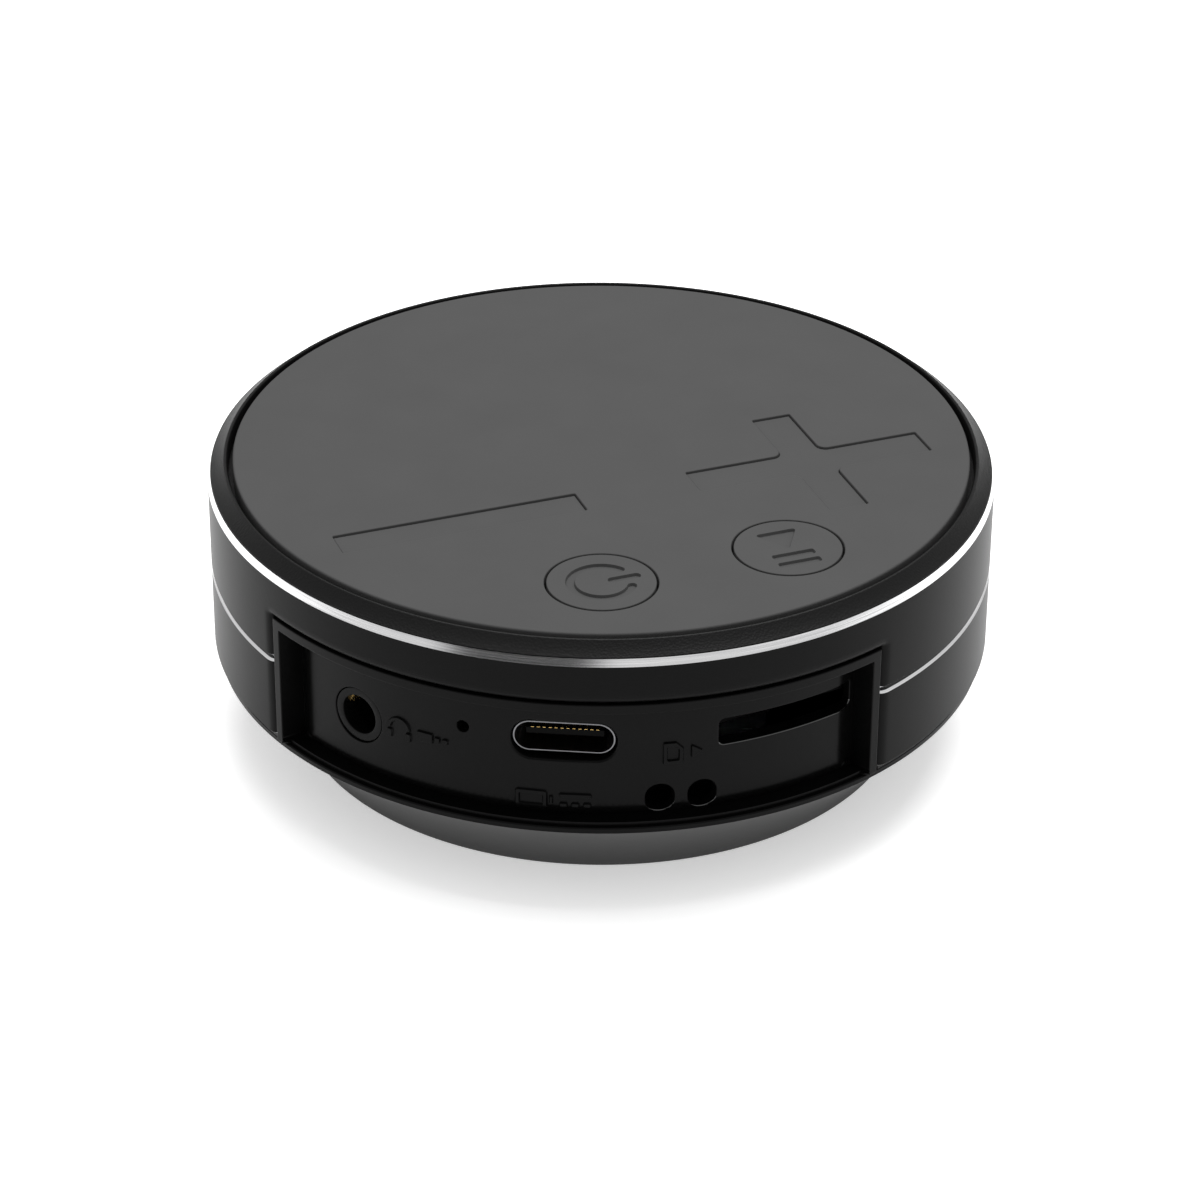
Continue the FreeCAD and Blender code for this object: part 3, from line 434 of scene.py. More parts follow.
creased = add(turning, "GeometryNodeSetShadeSmooth",
              {"Geometry": smooth.outputs[0], "Selection": sharp.outputs[0], "Shade Smooth": False}, domain="EDGE")
real = add(turning, "GeometryNodeRealizeInstances", {"Geometry": creased.outputs[0]})
finished = add(turning, "GeometryNodeSetMaterial", {"Geometry": real.outputs[0], "Material": given["Finish"]})
add(turning, "NodeGroupOutput", {"Part": finished.outputs[0]})
print("turning tree has", len(turning.nodes), "nodes")


# %% Run a tree and keep the result as a plain mesh
def made_by(tree, mesh, values):
    """Evaluates a Geometry Nodes tree on a mesh. Values pair each input socket with its setting."""
    holder = bpy.data.objects.new("holder", mesh)
    bpy.context.scene.collection.objects.link(holder)
    modifier = holder.modifiers.new("tree", "NODES")
    modifier.node_group = tree
    for socket, value in values:
        modifier[socket.identifier] = value
    seen = holder.evaluated_get(bpy.context.evaluated_depsgraph_get())
    result = bpy.data.meshes.new_from_object(seen)
    holder.modifiers.clear()
    bpy.data.objects.remove(holder)
    return result


def turned_part(profile, finish, segments=256, crisp=32):
    """A closed mesh turned from (radius, height) points in mm."""
    line = bpy.data.meshes.new("profile")
    line.from_pydata([(r * MM, 0, z * MM) for r, z in profile], [], [])
    mesh = made_by(turning, line, [(segments_in, segments), (crisp_in, math.radians(crisp)), (finish_in, finish)])
    work = bmesh.new()
    work.from_mesh(mesh)
    bmesh.ops.dissolve_degenerate(work, edges=work.edges, dist=1e-8)
    bmesh.ops.recalc_face_normals(work, faces=work.faces)
    work.to_mesh(mesh)
    work.free()
    return mesh


def arc(centre, radius, start, end, steps=5):
    """Points of a profile's rounded corner, from one angle to another in degrees."""
    turns = [math.radians(start + (end - start) * k / steps) for k in range(steps + 1)]
    return [(centre[0] + radius * math.cos(t), centre[1] + radius * math.sin(t)) for t in turns]


# %% [markdown]
# ## Bezel and top cover
# The bezel slopes from the band's cut edge up to a narrow rounded crest, and drops inside
# to the deck that carries the key pad. The skirt below the deck stands inside the band.

# %% Bezel and cover
COVER_PROFILE = (
    [(0, 23.6), (32.2, 23.6), (32.2, 21.6), (33.4, 21.6), (33.4, 25.17), (34.5, 25.17)]
    + arc((34.62, 25.25), 0.1, -80, 25, 4)
    + [(34.0, 25.78)]
    + arc((33.42, 26.12), 0.18, 40, 180, 7)
    + [(33.17, 26.0), (33.15, 24.8), (0, 24.8)]
)
mesh = turned_part(COVER_PROFILE, abs_black, 360)
piece("bezel_and_cover", mesh, "receiver", "black_plastic", "top_cover")

# %% [markdown]
# ## Foot and lower housing
# The foot is a silicone boot that sweeps in from the housing's black flange, just under the
# band, to the flat ring that stands on the table.

# %% Foot
FOOT_R = 27.7
FLANGE_R, FLANGE_LOW, FLANGE_TOP = 34.66, 7.88, 8.5
sweep = [(FOOT_R + (FLANGE_R - FOOT_R) * t, 8.15 * t ** 0.74) for t in
         (0.02, 0.05, 0.09, 0.14, 0.2, 0.27, 0.35, 0.44, 0.54, 0.65, 0.77, 0.87, 0.93)]
FOOT_PROFILE = (
    [(0, 1.2), (0, 0)] + [(20.95, 0), (21.0, 0.05), (21.05, 0.4), (22.15, 0.4), (22.2, 0.05), (22.25, 0)]
    + [(27.15, 0), (27.5, 0.04), (27.68, 0.16)] + sweep
    + [(34.28, 7.82), (34.2, FLANGE_LOW), (33.0, FLANGE_LOW), (26.1, 4.0), (26.1, 1.2)]
)
mesh = turned_part(FOOT_PROFILE, silicone, 360)
foot = piece("silicone_foot", mesh, "receiver", "grey_silicone", "base_foot")

# %% Flange
# The lower housing's black flange shows as a dark line between the foot and the band.
FLANGE_PROFILE = [(33.2, FLANGE_LOW + 0.02), (34.56, FLANGE_LOW + 0.02), (34.66, FLANGE_LOW + 0.12),
                  (34.66, FLANGE_TOP - 0.1), (34.56, FLANGE_TOP - 0.01), (33.2, FLANGE_TOP - 0.01)]
mesh = turned_part(FLANGE_PROFILE, insert_black, 360)
piece("lower_housing_flange", mesh, "receiver", "black_plastic")

# %% [markdown]
# ## Outlines and reliefs
# The key pad, the keys and the socket insert are sheets with holes, steps and rounded
# edges. Each is described by outlines: an outline is a function that gives a closed ring of
# points, grown or shrunk by any amount. A relief joins rings at different depths with a
# constrained Delaunay triangulation, so every edge gets its true small radius, which is
# what catches the light.


# %% Outlines that can grow
def circle(across, up, radius, count=96):
    def ring(grow=0.0):
        return [(across + (radius + grow) * math.cos(2 * math.pi * k / count),
                 up + (radius + grow) * math.sin(2 * math.pi * k / count)) for k in range(count)]
    return ring


def cornered(corners, radii, space=5.0):
    """A polygon given anticlockwise. Outer corners round wider as it grows, and inner corners tighter."""
    def ring(grow=0.0):
        count = len(corners)
        lines = []
        for k in range(count):
            a, b = Vector(corners[k]), Vector(corners[(k + 1) % count])
            along = (b - a).normalized()
            lines.append((a + Vector((along.y, -along.x)) * grow, along))
        points = []
        for k in range(count):
            (p, d), (q, e) = lines[k - 1], lines[k]
            cross = d.x * e.y - d.y * e.x
            corner = p + d * (((q - p).x * e.y - (q - p).y * e.x) / cross)
            radius = max(0.02, radii[k] + (grow if cross > 0 else -grow))
            half = math.acos(max(-1.0, min(1.0, -d.dot(e)))) / 2
            inward = (e - d).normalized()
            centre = corner + inward * (radius / math.sin(half))
            first = centre - corner - d * (centre - corner).dot(d)
            last = centre - corner - e * (centre - corner).dot(e)
            start, end = centre - first, centre - last
            sweep = math.pi - 2 * half
            begin = math.atan2((start - centre).y, (start - centre).x)
            sign = 1 if cross > 0 else -1
            steps = max(3, int(radius / 0.12) + 3)
            fresh = [centre + radius * Vector((math.cos(begin + sign * sweep * j / steps),
                                               math.sin(begin + sign * sweep * j / steps))) for j in range(steps + 1)]
            if points and space:
                gap = (fresh[0] - points[-1]).length
                for j in range(1, int(gap / space) + 1):
                    points.append(points[-1].lerp(fresh[0], 1 / (int(gap / space) + 2 - j)))
            points += fresh
        gap = (points[0] - points[-1]).length
        for j in range(1, int(gap / space) + 1):
            points.append(points[-1].lerp(points[0], 1 / (int(gap / space) + 2 - j)))
        return [(v.x, v.y) for v in points]
    return ring


def bar(across, up, width, height, radius, turn=0.0, space=5.0):
    """A rounded rectangle about a centre, turned by some degrees."""
    c, s = math.cos(math.radians(turn)), math.sin(math.radians(turn))
    spots = [(-width / 2, -height / 2), (width / 2, -height / 2), (width / 2, height / 2), (-width / 2, height / 2)]
    return cornered([(across + x * c - y * s, up + x * s + y * c) for x, y in spots], [radius] * 4, space)


print("a rounded bar has", len(bar(0, 0, 10, 3, 0.5)()), "points")


# %% Edge shapes made of rings
def rounded(outline, side, radius, level=0.0, steps=4, apron=0.06):
    """Rings of a rounded edge. side is -1 where the sheet lies inside the outline and +1 where it lies outside."""
    rings = []
    for k in range(steps + 1):
        t = math.pi / 2 * k / steps
        rings.append((outline(side * radius * (1 - math.cos(t))), level + radius * (1 - math.sin(t))))
    if apron:
        rings.append((outline(side * (radius + apron)), level))
    return rings


def step(outline, side, top, floor, soft=0.05):
    """Rings of a steep step. The side-ward ground lies at depth top, and the other at depth floor."""
    return [(outline(side * (soft + 0.03)), top), (outline(side * soft), top),
            (outline(side * soft * 0.4), top + (floor - top) * 0.18),
            (outline(-side * soft * 0.4), top + (floor - top) * 0.82), (outline(-side * soft), floor)]


# %% Triangulate rings into a relief
def inside(points, ring):
    """Which of these points lie in a ring, by counting crossings."""
    x, y = points[:, 0], points[:, 1]
    hit = np.zeros(len(points), dtype=bool)
    ring = np.array(ring)
    for (ax, ay), (bx, by) in zip(ring, np.roll(ring, -1, axis=0)):
        crosses = (ay > y) != (by > y)
        if ay != by:
            hit ^= crosses & (x < (bx - ax) * (y - ay) / (by - ay) + ax)
    return hit


def relief(name, rings, openings, front, back, spots=()):
    """A closed sheet. front(x, y, depth) and back(x, y) place its two skins, in metres."""
    points, depths, edges = [], [], []
    for ring, depth in rings:
        start = len(points)
        points += [Vector(p) for p in ring]
        depths += [depth] * len(ring)
        edges += [(start + k, start + (k + 1) % len(ring)) for k in range(len(ring))]
    for x, y, depth in spots:
        points.append(Vector((x, y)))
        depths.append(depth)
    flat, _, faces, came_from, _, _ = delaunay_2d_cdt(points, edges, [], 0, 1e-7)
    centres = np.array([sum((flat[i] for i in f), Vector((0, 0))) / len(f) for f in faces])
    kept = inside(centres, rings[0][0])
    for ring in openings:
        kept &= ~inside(centres, ring)
    work = bmesh.new()
    top = [work.verts.new(front(p.x, p.y, depths[came_from[i][0]])) for i, p in enumerate(flat)]
    under = [work.verts.new(back(p.x, p.y)) for p in flat]
    uses = {}
    for face, keep in zip(faces, kept):
        if keep:
            work.faces.new([top[i] for i in face])
            work.faces.new([under[i] for i in reversed(face)])
            for a, b in zip(face, face[1:] + face[:1]):
                uses.setdefault(tuple(sorted((a, b))), []).append((a, b))
    for found in uses.values():
        if len(found) == 1:
            a, b = found[0]
            work.faces.new((top[b], top[a], under[a], under[b]))
    bmesh.ops.delete(work, geom=[v for v in work.verts if not v.link_faces], context="VERTS")
    mesh = bpy.data.meshes.new(name)
    work.to_mesh(mesh)
    work.free()
    return mesh


print("relief tools ready")

# %% [markdown]
# ## Key pad and keys
# The silicone skin fills the bezel. The minus and plus keys lie a fifth of a millimetre
# below it, and the two round keys are level with it. The keys follow a grid that is turned
# 26 degrees about the middle.

# %% Key places, in mm
GRID_TURN = 26.0
GRID = math.radians(GRID_TURN)
PAD_R, PAD_TOP, DECK = 32.73, 26.37, 24.8
SUNK_TOP, CAP_LOW = 26.17, 25.2
KEY_GAP = {"minus": 0.03, "plus": 0.03, "power": 0.1, "mode": 0.1}


def on_grid(across, up):
    """A place on the key grid as x and y."""
    return (across * math.cos(GRID) - up * math.sin(GRID), across * math.sin(GRID) + up * math.cos(GRID))


LONG_KEY_OUT, LONG_KEY_ROW = 16.3, -8.9
ROUND_KEY_OUT, ROUND_KEY_ROW = 8.5, -22.6
MINUS_AT, PLUS_AT = on_grid(-LONG_KEY_OUT, LONG_KEY_ROW), on_grid(LONG_KEY_OUT, LONG_KEY_ROW)
POWER_AT, MODE_AT = on_grid(-ROUND_KEY_OUT, ROUND_KEY_ROW), on_grid(ROUND_KEY_OUT, ROUND_KEY_ROW)
print("minus key at", [round(v, 2) for v in MINUS_AT], "plus key at", [round(v, 2) for v in PLUS_AT])


# %% Key outlines
KEY_LENGTH, MINUS_WIDTH, PLUS_WIDTH, PLUS_HEIGHT = 22.1, 3.1, 3.6, 17.7
KEY_CORNER, PLUS_CROOK, ROUND_KEY_R = 0.12, 0.9, 4.75


def plus_outline():
    """The plus: a long bar and a shorter one that crosses it, with rounded inner corners."""
    long, tall, half = KEY_LENGTH / 2, PLUS_HEIGHT / 2, PLUS_WIDTH / 2
    spots = [(half, -half), (long, -half), (long, half), (half, half), (half, tall), (-half, tall),
             (-half, half), (-long, half), (-long, -half), (-half, -half), (-half, -tall), (half, -tall)]
    radii = [PLUS_CROOK, KEY_CORNER, KEY_CORNER] * 4
    c, s = math.cos(GRID), math.sin(GRID)
    return cornered([(PLUS_AT[0] + x * c - y * s, PLUS_AT[1] + x * s + y * c) for x, y in spots], radii)


OUTLINES = {
    "minus": bar(*MINUS_AT, KEY_LENGTH, MINUS_WIDTH, KEY_CORNER, GRID_TURN),
    "plus": plus_outline(),
    "power": circle(*POWER_AT, ROUND_KEY_R),
    "mode": circle(*MODE_AT, ROUND_KEY_R),
}
print("keys:", list(OUTLINES))

# %% Key pad
rings = rounded(circle(0, 0, PAD_R, 360), -1, 0.2)
openings = []
for name, outline in OUTLINES.items():
    rings += rounded(lambda grow, o=outline, gap=KEY_GAP[name]: o(gap + grow), 1, 0.1)
    openings.append(outline(KEY_GAP[name]))
mesh = settle(relief("pad", rings, openings, lambda x, y, d: Vector((x, y, PAD_TOP - d)) * MM,
                     lambda x, y: Vector((x, y, DECK)) * MM))
mesh.materials.append(silicone)
piece("key_pad_skin", mesh, "receiver", "grey_silicone", "key_pad")


# %% [markdown]
# The round keys carry engraved signs. Up on a sign is towards +X on the turned grid, and
# the power sign is a broken ring with a stem. The second sign is a play triangle and two
# pause bars.

# %% Sign outlines
def sign_place(centre, right, up):
    """A place on a key's sign as x and y: the sign stands on the grid's own turn."""
    c, s = math.cos(GRID), math.sin(GRID)
    return (centre[0] + up * c + right * s, centre[1] + up * s - right * c)


def broken_ring(centre, radius, stroke, gap):
    """A ring's stroke that is open towards the sign's top, with round ends."""
    def ring(grow=0.0):
        half = stroke / 2 + grow
        start, end = math.radians(90 + gap), math.radians(450 - gap)
        points = []
        for k in range(61):
            t = start + (end - start) * k / 60
            points.append(((radius + half) * math.cos(t), (radius + half) * math.sin(t)))
        for k in range(1, 7):
            t = end + math.pi * k / 7
            points.append((radius * math.cos(end) + half * math.cos(t), radius * math.sin(end) + half * math.sin(t)))
        for k in range(61):
            t = end + (start - end) * k / 60
            points.append(((radius - half) * math.cos(t), (radius - half) * math.sin(t)))
        for k in range(1, 7):
            t = start + math.pi + math.pi * k / 7
            points.append((radius * math.cos(start) + half * math.cos(t),
                           radius * math.sin(start) + half * math.sin(t)))
        return [sign_place(centre, x, y) for x, y in points]
    return ring


def sign_bar(centre, right, up, width, height, radius):
    return bar(*sign_place(centre, right, up), width, height, radius, 26 - 90)


SIGNS = {
    "minus": [],
    "plus": [],
    "power": [broken_ring(POWER_AT, 2.65, 0.75, 33), sign_bar(POWER_AT, 0, 2.05, 0.75, 2.9, 0.37)],
    "mode": [
        cornered([sign_place(MODE_AT, *p) for p in ((-2.9, -1.9), (0.2, 0), (-2.9, 1.9))], [0.2] * 3),
        sign_bar(MODE_AT, 1.25, 0, 0.75, 3.8, 0.2),
        sign_bar(MODE_AT, 2.65, 0, 0.75, 3.8, 0.2),
    ],
}
print("signs:", {name: len(parts) for name, parts in SIGNS.items()})


# %% Keys, each with the stem that presses its switch
def key_mesh(name, top):
    rings = rounded(lambda grow: OUTLINES[name](grow - KEY_GAP[name]), -1, 0.08)
    for sign in SIGNS[name]:
        rings += step(sign, 1, 0.0, 0.25, 0.04)
    mesh = relief(name, rings, [], lambda x, y, d: Vector((x, y, top - d)) * MM,
                  lambda x, y: Vector((x, y, CAP_LOW)) * MM)
    x, y = {"minus": MINUS_AT, "plus": PLUS_AT, "power": POWER_AT, "mode": MODE_AT}[name]
    work = bmesh.new()
    work.from_mesh(mesh)
    stem = Matrix.Translation(Vector((x, y, (22.15 + CAP_LOW + 0.1) / 2)) * MM)
    bmesh.ops.create_cone(work, cap_ends=True, segments=48, radius1=1.35 * MM, radius2=1.4 * MM,
                          depth=(CAP_LOW + 0.1 - 22.15) * MM, matrix=stem)
    work.to_mesh(mesh)
    work.free()
    return settle(mesh, weld=1e-8)


for name, top in (("minus", SUNK_TOP), ("plus", SUNK_TOP), ("power", PAD_TOP), ("mode", PAD_TOP)):
    mesh = key_mesh(name, top)
    mesh.materials.append(silicone)
    piece(f"{name}_key_cap", mesh, f"{name}_button", "grey_silicone", f"{name}_key")

# %% [markdown]
# ## Socket insert
# The insert fills the band's notch: a thin rim at the band's surface, and inside it a
# recessed curved plate with the sockets. It is drawn flat, as if the plate were unrolled,
# and then wrapped round the case. The signs beside the sockets are raised a little, black
# on black: headphones and a plug, a battery with the direct-current sign, and a memory card.

# %% Wrapping the flat drawing round the case
PLATE_R, RIM_R, INSERT_BACK = 33.25, 34.95, 31.95
RECESS_HALF, RECESS_LOW, RECESS_TOP = 46.6, 8.86, 19.9
JACK_TURN, JACK_LEVEL, CHARGER_LEVEL = -33, 14.3, 16.3
PLATE_DEPTH = RIM_R - PLATE_R
BESIDE, ABOVE, DIP = 2.4, 1.0, 0.6


def unrolled(degrees):
    """Where an angle round the case falls on the flat drawing, in mm."""
    return math.radians(degrees) * PLATE_R


def ground(x, y):
    """The bare insert's depth: a level rim, then the plate, which dips along its sides and foot."""
    beside, above, below = unrolled(RECESS_HALF) - abs(x), y - RECESS_LOW, RECESS_TOP - y
    if min(beside, above, below) < 0.01:
        return 0.0
    near = min(1.0, beside / BESIDE, above / ABOVE)
    dip = DIP if beside / BESIDE < above / ABOVE else DIP * 0.55
    return PLATE_DEPTH + dip * (1 - near * near * (3 - 2 * near))


def wrap(x, y, depth):
    """Puts a point of the drawing on the insert, at a depth below its bare surface."""
    radius = RIM_R - ground(x, y) - depth
    if y < RECESS_LOW + 0.06 and abs(x) < unrolled(RECESS_HALF):
        radius = min(radius, FLANGE_R - 0.4)
    return polar(radius, x / PLATE_R, y)


def wrap_back(x, y):
    return polar(INSERT_BACK, x / PLATE_R, y)


print("plate is", round(2 * unrolled(RECESS_HALF), 1), "mm wide unrolled")

# %% Socket holes in the flat drawing
HOLES = {
    "jack": (circle(unrolled(JACK_TURN), JACK_LEVEL, 2.6, 72), 0.07),
    "microphone": (circle(unrolled(-15), 16.4, 0.55, 32), 0.08),
    "usb": (bar(0, 16.12, 8.98, 3.6, 1.75, space=0.5), 0.25),
    "card": (bar(unrolled(34.15), 16.25, 13.3, 2.5, 0.5, space=0.6), 0.14),
    "eye_left": (bar(unrolled(14.0), 10.42, 2.5, 2.74, 1.2), 0.1),
    "eye_right": (bar(unrolled(20.3), 10.42, 2.5, 2.74, 1.2), 0.1),
}
print("holes:", list(HOLES))


# %% Raised signs in the flat drawing
def arch(across, up, radius, stroke):
    """The upper half of a ring's stroke."""
    def ring(grow=0.0):
        half, foot = stroke / 2 + grow, -grow / radius
        turns = [foot + (math.pi - 2 * foot) * k / 24 for k in range(25)]
        path = [((radius + half) * math.cos(t), (radius + half) * math.sin(t)) for t in turns]
        path += [((radius - half) * math.cos(t), (radius - half) * math.sin(t)) for t in reversed(turns)]
        return [(across + x, up + y) for x, y in path]
    return ring


def card_shape(across, up, width, height, cut):
    w, h = width / 2, height / 2
    spots = [(-w, -h), (w, -h), (w, h - cut), (w - cut, h), (-w, h)]
    return cornered([(across + x, up + y) for x, y in spots], [0.12] * 5)


RAISED = [
    arch(-14.75, 14.55, 0.95, 0.34), bar(-15.68, 13.95, 0.5, 0.8, 0.14), bar(-13.82, 13.95, 0.5, 0.8, 0.14),
    bar(-12.2, 14.5, 1.5, 0.95, 0.15), bar(-11.02, 14.5, 0.45, 0.5, 0.06), bar(-10.3, 14.5, 0.55, 0.5, 0.2),
    bar(-2.75, 10.35, 2.7, 1.7, 0.25), bar(-1.05, 10.35, 0.26, 0.8, 0.08),
    bar(1.0, 10.85, 2.7, 0.36, 0.1),
    bar(0.0, 9.95, 0.62, 0.36, 0.1), bar(1.0, 9.95, 0.62, 0.36, 0.1), bar(2.0, 9.95, 0.62, 0.36, 0.1),
    card_shape(9.2, 14.85, 1.7, 2.1, 0.6),
    cornered([(10.75, 14.2), (11.75, 14.85), (10.75, 15.5)], [0.08] * 3),
]
SUNK_BACK = [bar(-2.75, 10.35, 2.0, 1.0, 0.1), card_shape(9.2, 14.85, 1.0, 1.4, 0.36)]
print(len(RAISED), "raised shapes")

# %% Build the insert
frame_edge = bar(0, 14.65, 2 * unrolled(48.1), 12.3, 0.15, space=0.6)
recess = bar(0, (RECESS_LOW + RECESS_TOP) / 2, 2 * unrolled(RECESS_HALF), RECESS_TOP - RECESS_LOW, 0.3, space=0.6)
rings = rounded(frame_edge, -1, 0.1) + rounded(recess, 1, 0.08) + [(recess(-0.02), 0.0)]
for outline, radius in HOLES.values():
    rings += rounded(outline, 1, radius)
for outline in RAISED:
    rings += step(outline, 1, 0.0, -0.2, 0.05)
for outline in SUNK_BACK:
    rings += step(outline, -1, 0.0, -0.2, 0.05)
lattice = [(x * 0.55, 11.6 + y * 0.55) for x in range(-44, 45) for y in range(11)]
for inset in (0.12, 0.25, 0.4, 0.55, 0.7, 0.85, 1.0, 1.15, 1.4, 1.7, 2.0, 2.3):
    lattice += recess(-inset)
lattice = np.array(lattice)
blocked = np.zeros(len(lattice), dtype=bool)
for ring in [o(radius + 0.16) for o, radius in HOLES.values()] + [o(0.14) for o in RAISED]:
    blocked |= inside(lattice, ring)
spots = [(x, y, 0.0) for (x, y), hit in zip(lattice, blocked) if not hit]
mesh = settle(relief("insert", rings, [o(0) for o, _ in HOLES.values()], wrap, wrap_back, spots), weld=1e-8)
mesh.materials.append(insert_black)
mesh.materials.append(edge_black)
centres = np.array([(math.atan2(p.center.x, -p.center.y) * PLATE_R, p.center.z / MM) for p in mesh.polygons])
lips = np.zeros(len(centres), dtype=bool)
for name in ("card", "eye_left", "eye_right"):
    outline, radius = HOLES[name]
    lips |= inside(centres, outline(radius)) & ~inside(centres, outline(0.001))
for face, lip in zip(mesh.polygons, lips):
    face.material_index = int(lip and face.normal.z > 0.2)
print(int(lips.sum()), "faces round the polished lips")
piece("socket_insert", mesh, "receiver", "black_plastic", "port_bay")


# %% [markdown]
# The lanyard eyes open into a small pocket behind the plate. Pieces that look out of the
# insert are drawn in a flat frame that faces outwards at their own angle.

# %% Facing outwards
def facing(degrees, level, front):
    """Places (x, y, depth) in a frame at an angle round the case. Depth runs inwards from the front radius."""
    turn = math.radians(degrees)
    out, right = Vector((math.sin(turn), -math.cos(turn), 0)), Vector((math.cos(turn), math.sin(turn), 0))

    def place(x, y, depth):
        return (out * (front - depth) + right * x + Vector((0, 0, level + y))) * MM
    return place


def radial(degrees, level):
    """Stands a turned part on its side: its axis points outwards, and its height is the radius."""
    turn = math.radians(degrees)
    out, right = Vector((math.sin(turn), -math.cos(turn), 0)), Vector((math.cos(turn), math.sin(turn), 0))
    axes = Matrix((right, Vector((0, 0, 1)), out)).transposed().to_4x4()
    return Matrix.Translation(Vector((0, 0, level * MM))) @ axes


# %% Lanyard pocket
place = facing(17.15, 0, 31.93)
rings = rounded(bar(0, 10.7, 9.0, 4.4, 0.3), -1, 0.1) + step(bar(0, 10.55, 7.4, 3.1, 0.3), 1, 0.0, 2.2, 0.03)
mesh = settle(relief("pocket", rings, [], place, lambda x, y: place(x, y, 3.03)), weld=1e-8)
mesh.materials.append(insert_black)
piece("lanyard_pocket", mesh, "receiver", "black_plastic")

# %% [markdown]
# ## Sockets
# The jack is a turned collar with a round-edged mouth, and behind it the moulded case. The
# charging socket is a drawn steel shell with a tongue that carries two rows of gold contacts.

# %% Socket finishes
socket_black, tree = new_finish("moulded black PBT")
where = add(tree, "ShaderNodeTexCoord")
gloss = add(tree, "ShaderNodeTexNoise", {"Vector": where.outputs["Object"], "Scale": per(0.5), "Detail": 2.0})
gloss_bump = add(tree, "ShaderNodeBump", {"Height": gloss.outputs[0], "Strength": 0.08, "Distance": 0.00003})
plastic = add(tree, "ShaderNodeBsdfPrincipled", {
    "Base Color": colour("#030303"), "Roughness": 0.3, "Specular IOR Level": 0.03, "IOR": 1.55,
    "Normal": gloss_bump.outputs[0]})
add(tree, "ShaderNodeOutputMaterial", {"Surface": plastic.outputs[0]})

# Drawn steel with a dark grey metal colour: dark, with soft long reflections and faint draw lines.
shell_steel, tree = new_finish("dark grey drawn steel")
where = add(tree, "ShaderNodeTexCoord")
draw = add(tree, "ShaderNodeMapping", {"Vector": where.outputs["Object"], "Scale": (per(0.15), per(2), per(0.15))})
lines = add(tree, "ShaderNodeTexNoise", {"Vector": draw.outputs[0], "Scale": 1.0, "Detail": 2.0})
# The metal colour is a dark grey, darker than bare steel, all over the shell.
tone = add(tree, "ShaderNodeMix", {0: lines.outputs[0], 6: colour("#5c5c5e"), 7: colour("#727274")}, data_type="RGBA")
line_bump = add(tree, "ShaderNodeBump", {"Height": lines.outputs[0], "Strength": 0.1, "Distance": 0.00002})
plate = add(tree, "ShaderNodeBsdfPrincipled", {
    "Base Color": tone.outputs[2], "Metallic": 1.0, "Roughness": 0.3, "Normal": line_bump.outputs[0]})
add(tree, "ShaderNodeOutputMaterial", {"Surface": plate.outputs[0]})

# Gold flash over nickel, rolled smooth: warm and bright even in the dark of the socket.
gold, tree = new_finish("gold flashed contacts")
where = add(tree, "ShaderNodeTexCoord")
rub = add(tree, "ShaderNodeTexNoise", {"Vector": where.outputs["Object"], "Scale": per(0.4), "Detail": 2.0})
tone = add(tree, "ShaderNodeMix", {0: rub.outputs[0], 6: colour("#d9b26a"), 7: colour("#e8c884")}, data_type="RGBA")
leaf = add(tree, "ShaderNodeBsdfPrincipled", {"Base Color": tone.outputs[2], "Metallic": 1.0, "Roughness": 0.25})
add(tree, "ShaderNodeOutputMaterial", {"Surface": leaf.outputs[0]})
print("socket finishes ready")

# %% Jack
JACK_PROFILE = (
    [(0, 18.4), (2.52, 18.4), (2.52, 33.0)] + arc((2.46, 33.04), 0.06, 0, 90, 4)
    + arc((1.88, 33.02), 0.08, 90, 180, 4) + [(1.8, 32.5), (1.8, 31.6), (2.0, 31.4), (2.0, 18.9), (0, 18.9)]
)
mesh = turned_part(JACK_PROFILE, insert_black, 96)
mesh.transform(radial(JACK_TURN, JACK_LEVEL))
piece("audio_jack", mesh, "receiver", "socket_plastic", "aux_jack")

place = facing(JACK_TURN, JACK_LEVEL, 31.3)
rings = (rounded(bar(0, 0.5, 6.0, 6.3, 0.3), -1, 0.05, apron=0)
         + rounded(circle(0, 0, 2.54, 64), 1, 0.02, apron=0))
mesh = settle(relief("jack_case", rings, [circle(0, 0, 2.54, 64)(0)], place,
                     lambda x, y: place(x, y, 13.0)), weld=1e-8)
mesh.materials.append(socket_black)
piece("audio_jack_case", mesh, "receiver", "socket_plastic")

# %% Charging socket shell and tongue
place = facing(0, CHARGER_LEVEL, 32.8)
rings = (rounded(bar(0, 0, 8.66, 2.96, 1.46, space=0.5), -1, 0.08, apron=0)
         + step(bar(0, 0, 8.2, 2.5, 1.23, space=0.5), 1, 0.0, 7.0, 0.08))
mesh = settle(relief("shell", rings, [], place, lambda x, y: place(x, y, 7.5)), weld=1e-8)
mesh.materials.append(shell_steel)
piece("charging_socket_shell", mesh, "receiver", "socket_steel", "usb_c_shell")

place = facing(0, CHARGER_LEVEL, 31.95)
rings = rounded(bar(0, 0, 6.69, 0.7, 0.12), -1, 0.1)
mesh = settle(relief("tongue", rings, [], place, lambda x, y: place(x, y, 6.3)), weld=1e-8)
mesh.materials.append(socket_black)
piece("charging_socket_tongue", mesh, "receiver", "socket_plastic", "usb_c_tongue")

# %% [markdown]
# Twenty-four contacts repeat in two rows, so one contact is modelled and a second tree sets
# out the copies.

